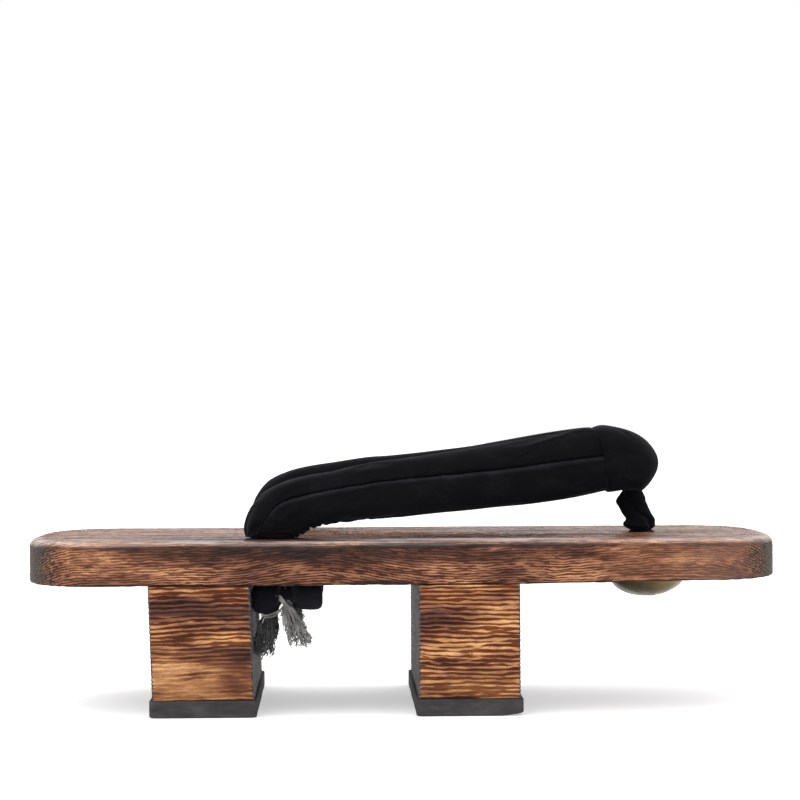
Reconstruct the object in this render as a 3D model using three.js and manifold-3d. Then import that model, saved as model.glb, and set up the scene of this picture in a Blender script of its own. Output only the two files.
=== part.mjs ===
// Geta sandal: a burnt wooden board on two teeth with rubber lifts, a padded velvet thong,
// a velvet front tie under a domed brass cap, and grey cotton cords that tie off the tails.
// Millimetres. +X points to the toe, +Y to the wearer's left, +Z up.
// The origin is on the floor, under the middle of the board.
import * as THREE from 'three';
import { mergeVertices } from 'three/addons/utils/BufferGeometryUtils.js';
import Module from 'manifold-3d';

const wasm = await Module();
wasm.setup();

// Fit between curved pieces
const gap = 0.3;

// Board
const boardLength = 268;
const boardWidth = 105;
const boardThickness = 15.75;
const endDepth = 30;
const endSquareness = 2.8;
const topEdgeIn = 4.4;
const topEdgeDown = 2.8;
const lowEdgeRound = 0.8;
const toeRelief = 1.2;

// Teeth
const toothHeight = 39.5;
const toothLength = 35.5;
const toothCorner = 1;
const rearToothFromHeel = 44.8;
const rearToothLean = 1.4;
const frontToothFromHeel = 138.8;

// Rubber lifts
const liftThickness = 6;
const liftOverhang = 1;
const liftEdge = 0.8;
const liftWear = 1;
const liftWearLength = 7;

// Holes through the board
const frontHoleFromToe = 45.8;
const frontHoleRadius = 5;
const rearHoleAhead = 6.7;
const rearHoleSide = 33.5;
const rearHoleRadius = 4.2;

// Padded thong
const thongRise = 39.4;
const strapWide = 16;
const seamDepth = 1.7;
const seamSoftness = 0.07;
const strapSquareness = 2.5;
const footTuck = 0.94;
const farElbowLift = 2;

// Tails of the thong under the board
const tailLength = 24.9;
const tailTall = 9.6;
const tailWide = 15;
const tailSquareness = 2.7;

// Front tie
const wrapLength = 21.1;
const wrapTall = 25.2;
const wrapWide = 31;
const wrapWall = 1;
const wrapAheadOfHole = 6.4;
const stemAcross = 9.4;
const stemLobes = 0.16;
const stemIntoWrap = 1.4;
const knotRadius = 8;
const knotHeight = 5.6;

// Domed cap
const capAhead = 1.9;
const capRadius = 13.9;
const capDepth = 8.2;
const capWall = 0.8;

// Cotton cords and tassels
const cordDiameter = 2;
const cordSquareness = 2.3;
const cordTurnShift = 0.4;
const sideNeck = 3.6;
const underNeck = 1.4;
const rearTasselBehind = 7;
const tassel = { length: 13.4, spread: 3.2, locks: 7, lockRadius: 1.35, spiral: 2.4 };
const tasselLean = { near: { front: 4.4, rear: -1.1 }, far: { front: 0.6, rear: -1.1 } };

// Levels and places worked out from the sizes
const floorZ = 0;
const toothFoot = floorZ + liftThickness;
const underside = toothFoot + toothHeight;
const boardTop = underside + boardThickness;
const heelX = -boardLength / 2;
const toeX = boardLength / 2;
const rearToothX = heelX + rearToothFromHeel;
const rearToothFace = rearToothX + toothLength;
const frontToothX = heelX + frontToothFromHeel;
const frontToothFace = frontToothX + toothLength;
const frontHoleX = toeX - frontHoleFromToe;
const rearHoleX = rearToothFace + rearHoleAhead;
const reliefAngle = Math.atan2(toeRelief, toeX - frontToothFace);
const undersideAt = (x) => underside + (x - frontToothFace) * Math.tan(reliefAngle);
const undersideAtHole = undersideAt(frontHoleX);
const undersideAtCap = undersideAt(frontHoleX + capAhead);

// Finishes
const wood = new THREE.MeshStandardMaterial({ color: 0x6b4230, roughness: 0.6, metalness: 0 });
const toothWood = new THREE.MeshStandardMaterial({ color: 0x8a5e38, roughness: 0.7, metalness: 0 });
const rubber = new THREE.MeshStandardMaterial({ color: 0x464446, roughness: 0.8, metalness: 0 });
const velvet = new THREE.MeshStandardMaterial({ color: 0x111113, roughness: 0.95, metalness: 0 });
const brass = new THREE.MeshStandardMaterial({ color: 0x8a7a4c, roughness: 0.4, metalness: 1 });
const cotton = new THREE.MeshStandardMaterial({ color: 0x6e6b66, roughness: 0.95, metalness: 0 });

// Rows of a table as objects, with one name for each column.
function table(names, rows) {
  return rows.map((row) => Object.fromEntries(names.map((name, i) => [name, row[i]])));
}

// Closed skin over rings of equal count. Each end closes on the middle of its ring.
function loft(rings) {
  const sides = rings[0].length;
  const points = rings.flat();
  const ends = [rings[0], rings[rings.length - 1]].map((ring) =>
    ring.reduce((sum, point) => sum.add(point), new THREE.Vector3()).divideScalar(sides));
  const index = [];
  for (let ring = 0; ring < rings.length - 1; ring++) {
    for (let side = 0; side < sides; side++) {
      const a = ring * sides + side;
      const b = ring * sides + (side + 1) % sides;
      index.push(a, b, b + sides, a, b + sides, a + sides);
    }
  }
  const first = points.length;
  const last = first + 1;
  const lastRing = (rings.length - 1) * sides;
  for (let side = 0; side < sides; side++) {
    const next = (side + 1) % sides;
    index.push(first, next, side, last, lastRing + side, lastRing + next);
  }
  return facingOut([...points, ...ends], index);
}

// Ring of sections joined end to start, such as a loop of cord.
function closedLoft(rings) {
  const sides = rings[0].length;
  const index = [];
  for (let ring = 0; ring < rings.length; ring++) {
    const nextRing = (ring + 1) % rings.length;
    for (let side = 0; side < sides; side++) {
      const next = (side + 1) % sides;
      const a = ring * sides + side;
      const b = ring * sides + next;
      const c = nextRing * sides + next;
      const d = nextRing * sides + side;
      index.push(a, b, c, a, c, d);
    }
  }
  return facingOut(rings.flat(), index);
}

// Geometry from points and corners, turned so that its faces point out.
function facingOut(points, index) {
  let volume = 0;
  for (let i = 0; i < index.length; i += 3) {
    const [a, b, c] = [points[index[i]], points[index[i + 1]], points[index[i + 2]]];
    volume += a.dot(new THREE.Vector3().crossVectors(b, c));
  }
  const corners = volume < 0 ? index.slice().reverse() : index;
  const geometry = new THREE.BufferGeometry();
  const places = points.flatMap((point) => point.toArray());
  geometry.setAttribute('position', new THREE.Float32BufferAttribute(places, 3));
  geometry.setIndex(corners);
  return geometry;
}

// Solid for joining and cutting, from a closed geometry.
function toSolid(geometry) {
  const bare = geometry.clone();
  bare.deleteAttribute('normal');
  bare.deleteAttribute('uv');
  const merged = mergeVertices(bare, 1e-4);
  return new wasm.Manifold(new wasm.Mesh({
    numProp: 3,
    vertProperties: new Float32Array(merged.attributes.position.array),
    triVerts: new Uint32Array(merged.index.array),
  }));
}

// Geometry from a joined or cut solid.
function toGeometry(solid) {
  const mesh = solid.getMesh();
  const geometry = new THREE.BufferGeometry();
  const places = new Float32Array(mesh.vertProperties);
  geometry.setAttribute('position', new THREE.BufferAttribute(places, 3));
  geometry.setIndex(new THREE.BufferAttribute(new Uint32Array(mesh.triVerts), 1));
  geometry.computeVertexNormals();
  return geometry;
}

// Upright round pin between two heights, for cutting a hole.
function pin(x, y, radius, low, high) {
  const geometry = new THREE.CylinderGeometry(radius, radius, high - low, 24);
  geometry.rotateX(Math.PI / 2);
  geometry.translate(x, y, (low + high) / 2);
  return toSolid(geometry);
}

// Wedge below a sloped plane that starts at x on the given level and rises to the toe.
function risingWedge(x, level, angle, length) {
  const deep = 20;
  const geometry = new THREE.BoxGeometry(length, 2 * boardWidth, deep);
  geometry.translate(length / 2, 0, -deep / 2);
  geometry.rotateY(-angle);
  geometry.translate(x, 0, level);
  return toSolid(geometry);
}

// Point with a rounded-box section: power 2 is an ellipse, more is squarer.
function squarish(angle, power) {
  const bend = (value) => Math.sign(value) * Math.abs(value) ** (2 / power);
  return [bend(Math.cos(angle)), bend(Math.sin(angle))];
}

// Board: straight sides with rounded ends, drawn inside the full outline by inset.
function boardRing(inset, z) {
  const steps = 14;
  const halfWidth = boardWidth / 2 - inset;
  const ring = [];
  for (const [end, start] of [[toeX, -Math.PI / 2], [heelX, Math.PI / 2]]) {
    const centre = end - Math.sign(end) * endDepth;
    for (let i = 0; i <= steps; i++) {
      const [ahead, aside] = squarish(start + Math.PI * i / steps, endSquareness);
      ring.push(new THREE.Vector3(centre + (endDepth - inset) * ahead, halfWidth * aside, z));
    }
  }
  return ring;
}

function board() {
  const rings = [];
  const bends = 4;
  const lowBends = 2;
  for (let i = 0; i <= lowBends; i++) {
    const angle = Math.PI / 2 * i / lowBends;
    const inset = lowEdgeRound * (1 - Math.sin(angle));
    rings.push(boardRing(inset, underside + lowEdgeRound * (1 - Math.cos(angle))));
  }
  for (let i = 0; i <= bends; i++) {
    const angle = Math.PI / 2 * i / bends;
    const inset = topEdgeIn * (1 - Math.cos(angle));
    rings.push(boardRing(inset, boardTop - topEdgeDown * (1 - Math.sin(angle))));
  }
  let solid = toSolid(loft(rings));
  const relief = risingWedge(frontToothFace, underside, reliefAngle, boardLength);
  solid = solid.subtract(relief);
  const low = underside - boardThickness;
  const high = boardTop + boardThickness;
  solid = solid.subtract(pin(frontHoleX, 0, frontHoleRadius, low, high));
  solid = solid.subtract(pin(rearHoleX, rearHoleSide, rearHoleRadius, low, high));
  solid = solid.subtract(pin(rearHoleX, -rearHoleSide, rearHoleRadius, low, high));
  return toGeometry(solid);
}

// Block with upright rounded corners, between two x values at one height.
function blockRing(heelSide, toeSide, halfWidth, corner, z) {
  const steps = 3;
  const ring = [];
  const corners = [
    [toeSide - corner, halfWidth - corner, 0],
    [heelSide + corner, halfWidth - corner, 1],
    [heelSide + corner, corner - halfWidth, 2],
    [toeSide - corner, corner - halfWidth, 3],
  ];
  for (const [x, y, quarter] of corners) {
    for (let i = 0; i <= steps; i++) {
      const angle = Math.PI / 2 * (quarter + i / steps);
      ring.push(new THREE.Vector3(x + corner * Math.cos(angle), y + corner * Math.sin(angle), z));
    }
  }
  return ring;
}

// Tooth: a plain block as wide as the board, whose foot may lean toward the toe.
function tooth(heelSide, lean) {
  const half = boardWidth / 2;
  return loft([
    blockRing(heelSide + lean, heelSide + lean + toothLength, half, toothCorner, toothFoot),
    blockRing(heelSide, heelSide + toothLength, half, toothCorner, underside),
  ]);
}

// Lift: rubber slab under a tooth with an eased lower edge. Wear lifts its toe edge.
function lift(heelSide, wear) {
  const low = heelSide - liftOverhang;
  const high = heelSide + toothLength + liftOverhang;
  const half = boardWidth / 2 + liftOverhang;
  const corner = toothCorner + liftOverhang;
  const slab = loft([
    blockRing(low + liftEdge, high - liftEdge, half - liftEdge, corner, floorZ),
    blockRing(low, high, half, corner, floorZ + liftEdge),
    blockRing(low, high, half, corner, toothFoot),
  ]);
  if (wear === 0) {
    return slab;
  }
  const slope = Math.atan2(wear, liftWearLength);
  const wedge = risingWedge(high - liftWearLength, floorZ, slope, toothLength);
  return toGeometry(toSolid(slab).subtract(wedge));
}

// Strap section in its own frame: out is away from the foot, up is across the strap. The side
// seam draws the outer face in between an upper and a lower lobe, and a corner lies on the seam.
function strapSection(angle, tall, wide, seam, pinch, power) {
  const seamAngle = Math.asin((2 * seam) ** (power / 2));
  const turned = angle + seamAngle * Math.max(Math.cos(angle), 0);
  const [out, up] = squarish(turned, power);
  const near = Math.exp(-(((up / 2 - seam) / seamSoftness) ** 2));
  const drawn = out > 0 ? pinch * seamDepth * near : 0;
  return [wide / 2 * out - drawn, tall / 2 * up];
}

// Thong leg. Columns: topAlong and lowAlong, places of its upper and lower edge as shares of the
// way from the rear hole to the front hole; topRise and lowRise, their heights above the board as
// shares of the thong's rise; side, share of the rear holes' distance from the middle; wide, share
// of the strap's width; seam, height of the side seam above the middle as a share of the section;
// pinch, share of the seam's depth; loose, how far the leg on the wearer's left stands higher.
const legRows = table([
  'topAlong', 'topRise', 'lowAlong', 'lowRise', 'side', 'wide', 'seam', 'pinch', 'loose',
], [
  [-0.061, 0.02, 0.071, 0.017, 1, 0.97, 0.2, 0, 0],
  [-0.065, 0.1, 0.075, 0.029, 1, 1.04, 0.2, 0, 0.1],
  [-0.056, 0.212, 0.082, 0.04, 1, 1.06, 0.2, 0, 0.6],
  [-0.04, 0.313, 0.09, 0.057, 1, 1.06, 0.2, 0.4, 1],
  [-0.012, 0.423, 0.102, 0.083, 1, 1.05, 0.19, 0.85, 1],
  [0.033, 0.506, 0.12, 0.108, 1, 1.04, 0.165, 1, 0.95],
  [0.093, 0.555, 0.146, 0.128, 1.01, 1.02, 0.17, 1, 0.8],
  [0.166, 0.592, 0.188, 0.148, 1.01, 1, 0.185, 1, 0.8],
  [0.268, 0.667, 0.284, 0.165, 0.98, 1, 0.18, 1, 0.35],
  [0.348, 0.704, 0.359, 0.19, 0.925, 1, 0.172, 1, 0.1],
  [0.444, 0.742, 0.458, 0.222, 0.82, 0.98, 0.15, 1, 0],
  [0.599, 0.815, 0.621, 0.262, 0.62, 0.95, 0.122, 1, 0],
  [0.762, 0.911, 0.788, 0.324, 0.39, 0.9, 0.09, 1, 0],
  [0.869, 0.962, 0.902, 0.374, 0.24, 0.86, 0.065, 0.9, 0],
  [0.939, 0.98, 0.954, 0.375, 0.17, 0.8, 0.055, 0.6, 0],
  [1, 0.933, 1.002, 0.38, 0.13, 0.7, 0.05, 0.2, 0],
  [1.043, 0.78, 1.04, 0.476, 0.09, 0.5, 0.05, 0, 0],
]);

function thongLeg(hand) {
  const span = frontHoleX - rearHoleX;
  const lifted = hand > 0 ? farElbowLift : 0;
  const spot = (along, side, rise, loose) => new THREE.Vector3(
    rearHoleX + along * span,
    hand * side * rearHoleSide,
    boardTop + rise * thongRise + loose * lifted,
  );
  const curve = (toPoint) => new THREE.CatmullRomCurve3(legRows.map(toPoint), false, 'catmullrom');
  const topEdge = curve((row) => spot(row.topAlong, row.side, row.topRise, row.loose));
  const lowEdge = curve((row) => spot(row.lowAlong, row.side, row.lowRise, 0));
  const sizes = curve((row) => new THREE.Vector3(row.wide * strapWide, row.seam, row.pinch));
  const sides = 22;
  const ringAt = (top, low, out, wide, seam, pinch, power) => {
    const centre = top.clone().add(low).divideScalar(2);
    const up = top.clone().sub(low);
    const tall = up.length();
    up.normalize();
    const ring = [];
    for (let i = 0; i < sides; i++) {
      const angle = 2 * Math.PI * i / sides;
      const [across, above] = strapSection(angle, tall, wide, seam, pinch, power);
      ring.push(centre.clone().addScaledVector(out, across).addScaledVector(up, above));
    }
    return ring;
  };
  const outward = new THREE.Vector3(0, hand, 0);
  const neck = rearHoleRadius - gap;
  const neckRing = (z) => {
    const behind = new THREE.Vector3(rearHoleX - neck, hand * rearHoleSide, z);
    const ahead = new THREE.Vector3(rearHoleX + neck, hand * rearHoleSide, z);
    return ringAt(behind, ahead, outward, 2 * neck, 0, 0, 2);
  };
  const base = legRows[0];
  const foot = boardTop + gap;
  const footTop = spot(base.topAlong, base.side, 0, 0).setZ(foot);
  const footLow = spot(base.lowAlong, base.side, 0, 0).setZ(foot);
  const rings = [
    neckRing(waistMiddle),
    neckRing(foot),
    ringAt(footTop, footLow, outward, footTuck * base.wide * strapWide, base.seam, 0, strapSquareness),
  ];
  const stations = 26;
  for (let i = 0; i <= stations; i++) {
    const share = i / stations;
    const top = topEdge.getPoint(share);
    const low = lowEdge.getPoint(share);
    const ahead = topEdge.getTangent(share).add(lowEdge.getTangent(share));
    const up = top.clone().sub(low).normalize();
    const out = new THREE.Vector3().crossVectors(up, ahead).multiplyScalar(hand).normalize();
    const size = sizes.getPoint(share);
    rings.push(ringAt(top, low, out, size.x, size.y, size.z, strapSquareness));
  }
  return toSolid(loft(rings));
}

// Tail of a leg: flattened velvet lying forward under the board, drawn in where the cord ties it.
// Columns: along, share of its length from the rear tooth; top and low, depths of its upper and
// lower face under the board as shares of its height; wide, share of its width.
const tailRows = table(['along', 'top', 'low', 'wide'], [
  [0, 0.22, 0.82, 0.5],
  [0.025, 0.08, 1, 0.82],
  [0.1, 0.01, 1.09, 0.98],
  [0.25, 0, 1.13, 1.02],
  [0.36, 0.03, 1.04, 0.92],
  [0.415, 0.26, 0.76, 0.6],
  [0.553, 0.26, 0.76, 0.6],
  [0.61, 0.05, 0.92, 0.92],
  [0.78, 0, 0.97, 1.02],
  [0.92, 0, 0.96, 1],
  [0.98, 0.07, 0.88, 0.84],
  [1, 0.2, 0.74, 0.5],
]);
const rearLump = tailRows[3];
const waist = tailRows[5];
const waistEnd = tailRows[6];
const tailTop = underside - gap;
const tailRearX = rearToothFace + gap;
const waistX = tailRearX + (waist.along + waistEnd.along) / 2 * tailLength;
const waistMiddle = tailTop - (waist.top + waist.low) / 2 * tailTall;
const waistTall = (waist.low - waist.top) * tailTall;
const waistWide = waist.wide * tailWide;

function thongTail(hand) {
  const sides = 16;
  return toSolid(loft(tailRows.map((row) => {
    const middle = tailTop - (row.top + row.low) / 2 * tailTall;
    const tall = (row.low - row.top) * tailTall;
    const ring = [];
    for (let i = 0; i < sides; i++) {
      const [across, above] = squarish(2 * Math.PI * i / sides, tailSquareness);
      ring.push(new THREE.Vector3(
        tailRearX + row.along * tailLength,
        hand * rearHoleSide + row.wide * tailWide / 2 * across,
        middle + tall / 2 * above,
      ));
    }
    return ring;
  })));
}

// Wrap of the front tie over the apex. Columns: along, share of its length from the rear edge to
// the nose; drop, of its middle, as a share of its height; tall and wide, shares of its section;
// lean, how far its top leads back; power, how square the section is.
const wrapRows = table(['along', 'drop', 'tall', 'wide', 'lean', 'power'], [
  [0, 0.018, 0.95, 0.97, 0.2, 3.2],
  [0.12, 0, 0.968, 0.96, 0.17, 3],
  [0.3, 0.003, 0.928, 0.89, 0.13, 2.8],
  [0.5, 0.032, 0.885, 0.8, 0.07, 2.6],
  [0.66, 0.071, 0.83, 0.7, 0.03, 2.4],
  [0.79, 0.079, 0.67, 0.58, 0, 2.2],
  [0.89, 0.073, 0.476, 0.42, 0, 2.1],
  [0.965, 0.069, 0.262, 0.24, 0, 2],
  [0.995, 0.067, 0.1, 0.09, 0, 2],
]);
const wrapRearX = frontHoleX + wrapAheadOfHole - wrapLength;
const wrapMiddle = boardTop + thongRise - wrapTall / 2;

// Skin of the wrap, drawn inside it by inset and carried back past its rear edge.
function wrapSkin(inset, back) {
  const sides = 28;
  const ringAt = (row, x) => {
    const tall = Math.max(row.tall * wrapTall - 2 * inset, 0.4);
    const wide = Math.max(row.wide * wrapWide - 2 * inset, 0.4);
    const ring = [];
    for (let i = 0; i < sides; i++) {
      const [across, above] = squarish(2 * Math.PI * i / sides, row.power);
      const up = tall / 2 * above;
      const z = wrapMiddle - row.drop * wrapTall + up;
      ring.push(new THREE.Vector3(x - row.lean * up, wide / 2 * across, z));
    }
    return ring;
  };
  const rings = wrapRows.map((row) => ringAt(row, wrapRearX + row.along * (wrapLength - inset)));
  if (back > 0) {
    rings.unshift(ringAt(wrapRows[0], wrapRearX - back));
  }
  return toSolid(loft(rings));
}

// Everything ahead of the wrap's leaning rear edge, less a gap.
function aheadOfWrap() {
  const deep = 3 * wrapLength;
  const geometry = new THREE.BoxGeometry(deep, 3 * wrapWide, 2 * wrapTall);
  geometry.translate(deep / 2 - gap, 0, 0);
  geometry.rotateY(-Math.atan(wrapRows[0].lean));
  geometry.translate(wrapRearX, 0, wrapMiddle);
  return toSolid(geometry);
}

// Stem of the front tie, two strands twisted together. Columns: up, share of the way from the
// board to the wrap; back, of its middle toward the heel, and size, as shares of its thickness;
// turn, degrees that the two strands have turned.
const stemRows = table(['up', 'back', 'size', 'turn'], [
  [0.02, 0.02, 0.87, 240],
  [0.095, 0.06, 1.24, 235],
  [0.18, 0.09, 1.23, 225],
  [0.29, 0.04, 1.06, 215],
  [0.43, 0.19, 1, 190],
  [0.575, 0.32, 1, 180],
  [0.7, 0.39, 1.04, 150],
  [0.825, 0.37, 1.02, 120],
  [1, 0.33, 0.82, 90],
]);

function stem() {
  const sides = 18;
  const wrapLow = wrapMiddle - wrapTall / 2;
  const rise = wrapLow + stemIntoWrap - boardTop;
  const ringAt = (x, z, radius, lobes, turn) => {
    const ring = [];
    for (let i = 0; i < sides; i++) {
      const angle = 2 * Math.PI * i / sides;
      const reach = radius * (1 + lobes * Math.cos(2 * (angle - turn)));
      ring.push(new THREE.Vector3(x + reach * Math.cos(angle), reach * Math.sin(angle), z));
    }
    return ring;
  };
  const inHole = frontHoleRadius - gap;
  const rings = [
    ringAt(frontHoleX, undersideAtHole - knotHeight / 2, inHole, 0, 0),
    ringAt(frontHoleX, boardTop, inHole, 0, 0),
  ];
  for (const row of stemRows) {
    const turn = THREE.MathUtils.degToRad(row.turn);
    const x = frontHoleX - row.back * stemAcross;
    const z = boardTop + gap + row.up * (rise - gap);
    rings.push(ringAt(x, z, row.size * stemAcross / 2, stemLobes, turn));
  }
  return toSolid(loft(rings));
}

function knot() {
  const geometry = new THREE.SphereGeometry(1, 18, 10);
  geometry.scale(knotRadius, knotRadius, knotHeight / 2);
  geometry.translate(frontHoleX, 0, undersideAtHole - 2 * gap - knotHeight / 2);
  return toSolid(geometry);
}

// Thong: both legs and tails as one solid, cut back where the wrap covers its apex.
function thong() {
  let solid = thongLeg(-1).add(thongLeg(1));
  solid = solid.add(thongTail(-1)).add(thongTail(1));
  const cover = aheadOfWrap().subtract(wrapSkin(wrapWall + gap, 3 * wrapWall));
  return toGeometry(solid.subtract(cover));
}

// Front tie: hollow wrap, stem and knot as one solid.
function frontTie() {
  const outside = wrapSkin(0, 0).add(stem()).add(knot());
  return toGeometry(outside.subtract(wrapSkin(wrapWall, 3 * wrapWall)));
}

// Cap: thin dome under the front hole, open toward the board.
function frontCap() {
  const steps = 6;
  const profile = [];
  for (let i = 0; i <= steps; i++) {
    const angle = Math.PI / 2 * i / steps;
    profile.push(new THREE.Vector2(capRadius * Math.sin(angle), -capDepth * Math.cos(angle)));
  }
  for (let i = steps; i >= 0; i--) {
    const angle = Math.PI / 2 * i / steps;
    const reach = (capRadius - capWall) * Math.sin(angle);
    profile.push(new THREE.Vector2(reach, (capWall - capDepth) * Math.cos(angle)));
  }
  profile.push(profile[0].clone());
  const geometry = new THREE.LatheGeometry(profile, 28);
  geometry.rotateX(Math.PI / 2);
  return toGeometry(toSolid(geometry));
}

// Loop of cotton cord in the waist of a tail, two turns side by side.
function tieCord(hand) {
  const steps = 20;
  const sides = 6;
  const clear = cordDiameter / 2 + gap;
  const turns = [];
  for (const shift of [-cordTurnShift, cordTurnShift]) {
    const rings = [];
    for (let i = 0; i < steps; i++) {
      const angle = 2 * Math.PI * i / steps;
      const [across, above] = squarish(angle, cordSquareness);
      const out = new THREE.Vector3(0, Math.cos(angle), Math.sin(angle));
      const middle = new THREE.Vector3(
        waistX + shift * cordDiameter,
        hand * rearHoleSide + (waistWide / 2 + clear) * across,
        waistMiddle + (waistTall / 2 + clear) * above,
      );
      const ring = [];
      for (let k = 0; k < sides; k++) {
        const around = 2 * Math.PI * k / sides;
        ring.push(middle.clone()
          .addScaledVector(out, cordDiameter / 2 * Math.cos(around))
          .add(new THREE.Vector3(cordDiameter / 2 * Math.sin(around), 0, 0)));
      }
      rings.push(ring);
    }
    turns.push(toSolid(closedLoft(rings)));
  }
  return toGeometry(turns[0].add(turns[1]));
}

// Round stick along a curve, from one radius to another through a middle one.
function strand(points, radii, sides, steps) {
  const line = new THREE.CatmullRomCurve3(points);
  const thick = new THREE.CatmullRomCurve3(radii.map((radius) => new THREE.Vector3(radius, 0, 0)));
  const rings = [];
  for (let i = 0; i <= steps; i++) {
    const share = i / steps;
    const ahead = line.getTangent(share);
    const across = new THREE.Vector3(0, 1, 0).addScaledVector(ahead, -ahead.y).normalize();
    const up = new THREE.Vector3().crossVectors(ahead, across);
    const radius = thick.getPoint(share).x;
    const centre = line.getPoint(share);
    const ring = [];
    for (let k = 0; k < sides; k++) {
      const angle = 2 * Math.PI * k / sides;
      ring.push(centre.clone()
        .addScaledVector(across, radius * Math.cos(angle))
        .addScaledVector(up, radius * Math.sin(angle)));
    }
    rings.push(ring);
  }
  return toSolid(loft(rings));
}

// Lock of a tassel, hung below its neck. Columns: down, share of its length; out, share of its
// reach; drift, share of the tassel's lean; thick, share of the lock's radius.
const lockRows = table(['down', 'out', 'drift', 'thick'], [
  [0, 0, 0, 0.5],
  [0.35, 0.6, 0.4, 1.15],
  [0.7, 0.95, 0.75, 1],
  [1, 1, 1, 0.3],
]);

// Tassel: a cord end of the given neck that frays into fused locks, leaning toward the toe.
function tasselGeometry(neck, lean) {
  const round = cordDiameter / 2;
  const cordEnd = [0, neck / 2, neck + round].map((down) => new THREE.Vector3(0, 0, -down));
  let solid = strand(cordEnd, [round, round, round], 6, 3);
  for (let i = 0; i < tassel.locks; i++) {
    const angle = tassel.spiral * i;
    const reach = tassel.spread * Math.sqrt((i + 0.3) / tassel.locks);
    const length = tassel.length * (0.9 + 0.1 * Math.cos(1.7 * i));
    const points = lockRows.map((row) => new THREE.Vector3(
      row.drift * lean + row.out * reach * Math.cos(angle),
      row.out * reach * Math.sin(angle),
      -neck - row.down * length,
    ));
    solid = solid.add(strand(points, lockRows.map((row) => row.thick * tassel.lockRadius), 5, 5));
  }
  return toGeometry(solid);
}

const sandal = new THREE.Group();

function place(name, geometry, material, x = 0, y = 0, z = 0) {
  const mesh = new THREE.Mesh(geometry, material);
  mesh.name = name;
  mesh.position.set(x, y, z);
  sandal.add(mesh);
  return mesh;
}

place('board', board(), wood);
place('tooth_rear', tooth(rearToothX, rearToothLean), toothWood);
place('tooth_front', tooth(frontToothX, 0), toothWood);
place('lift_rear', lift(rearToothX + rearToothLean, 0), rubber);
place('lift_front', lift(frontToothX, liftWear), rubber);
place('thong', thong(), velvet);
place('front_tie', frontTie(), velvet);
const cap = place('front_cap', frontCap(), brass, frontHoleX + capAhead, 0, undersideAtCap - gap);
cap.rotation.y = -reliefAngle;

// Each tail has its cord. One frayed end hangs beside the cord, the other under the tail.
for (const [side, hand] of [['near', -1], ['far', 1]]) {
  place(`tie_cord_${side}`, tieCord(hand), cotton);
  const lean = tasselLean[side];
  const beside = hand * (rearHoleSide + waistWide / 2 + 1.5 * cordDiameter + 2 * gap);
  const frontX = waistX + cordDiameter / 4;
  place(`tassel_${side}_front`, tasselGeometry(sideNeck, lean.front), cotton, frontX, beside, waistMiddle);
  const rearX = waistX - rearTasselBehind;
  const underTail = tailTop - rearLump.low * tailTall - gap;
  const middle = hand * rearHoleSide;
  place(`tassel_${side}_rear`, tasselGeometry(underNeck, lean.rear), cotton, rearX, middle, underTail);
}

export default sandal;
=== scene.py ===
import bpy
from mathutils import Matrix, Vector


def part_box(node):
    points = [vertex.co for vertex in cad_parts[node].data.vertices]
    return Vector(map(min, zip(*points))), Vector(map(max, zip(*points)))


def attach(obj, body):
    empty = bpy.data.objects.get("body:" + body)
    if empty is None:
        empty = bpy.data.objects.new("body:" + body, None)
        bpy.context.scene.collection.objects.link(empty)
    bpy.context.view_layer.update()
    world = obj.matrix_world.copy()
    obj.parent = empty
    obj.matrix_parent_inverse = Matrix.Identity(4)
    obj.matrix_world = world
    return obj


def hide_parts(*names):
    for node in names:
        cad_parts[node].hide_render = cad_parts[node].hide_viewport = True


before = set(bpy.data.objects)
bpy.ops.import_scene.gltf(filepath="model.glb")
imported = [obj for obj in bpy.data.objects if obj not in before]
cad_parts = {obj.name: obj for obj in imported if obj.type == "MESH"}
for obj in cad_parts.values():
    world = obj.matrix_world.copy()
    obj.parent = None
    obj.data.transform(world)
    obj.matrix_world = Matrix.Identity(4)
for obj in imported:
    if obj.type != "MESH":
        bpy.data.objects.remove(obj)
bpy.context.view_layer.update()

import math

import bmesh
import bpy
import numpy as np
from mathutils import Matrix, Vector

mm = 0.001

# Camera: a long lens a metre off the shoe's right side, level, just above the strap,
# turned a little toward the toe and rolled a third of a degree.
camera_place = Vector((-23.7, -997.2, 109.4)) * mm
camera_turn = math.radians(1.36)
camera_roll = 0.0052
focal_in_pixels = 2726
picture_width_in_pixels = 800
camera_rise = 1 / focal_in_pixels
lens_on_sensor = focal_in_pixels / picture_width_in_pixels

camera_data = bpy.data.cameras.new("camera")
camera_data.sensor_width = 36
camera_data.lens = lens_on_sensor * camera_data.sensor_width
camera_data.clip_end = 40
camera = bpy.data.objects.new("camera", camera_data)
bpy.context.scene.collection.objects.link(camera)
bpy.context.scene.camera = camera
ahead = Vector((math.sin(camera_turn), math.cos(camera_turn), camera_rise)).normalized()
sideways = ahead.cross(Vector((0, 0, 1))).normalized()
upright = sideways.cross(ahead)
right = sideways * math.cos(camera_roll) - upright * math.sin(camera_roll)
upward = upright * math.cos(camera_roll) + sideways * math.sin(camera_roll)
camera_axes = Matrix((right, upward, -ahead)).transposed().to_4x4()
camera.matrix_world = Matrix.Translation(camera_place) @ camera_axes

# Studio: a white floor and an even white room, with a broad soft lamp above the heel side and a
# weaker one beyond the toe, so the burnt board stands out against white with the faintest shadow.
floor_size = 12
floor_white = 0.9
floor_glow = 0.42
room_white = 1.0

bpy.context.scene.view_settings.view_transform = "Standard"
world = bpy.data.worlds.new("room")
bpy.context.scene.world = world
world.use_nodes = True
world.node_tree.nodes["Background"].inputs["Color"].default_value = (1, 1, 1, 1)
world.node_tree.nodes["Background"].inputs["Strength"].default_value = room_white


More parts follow.
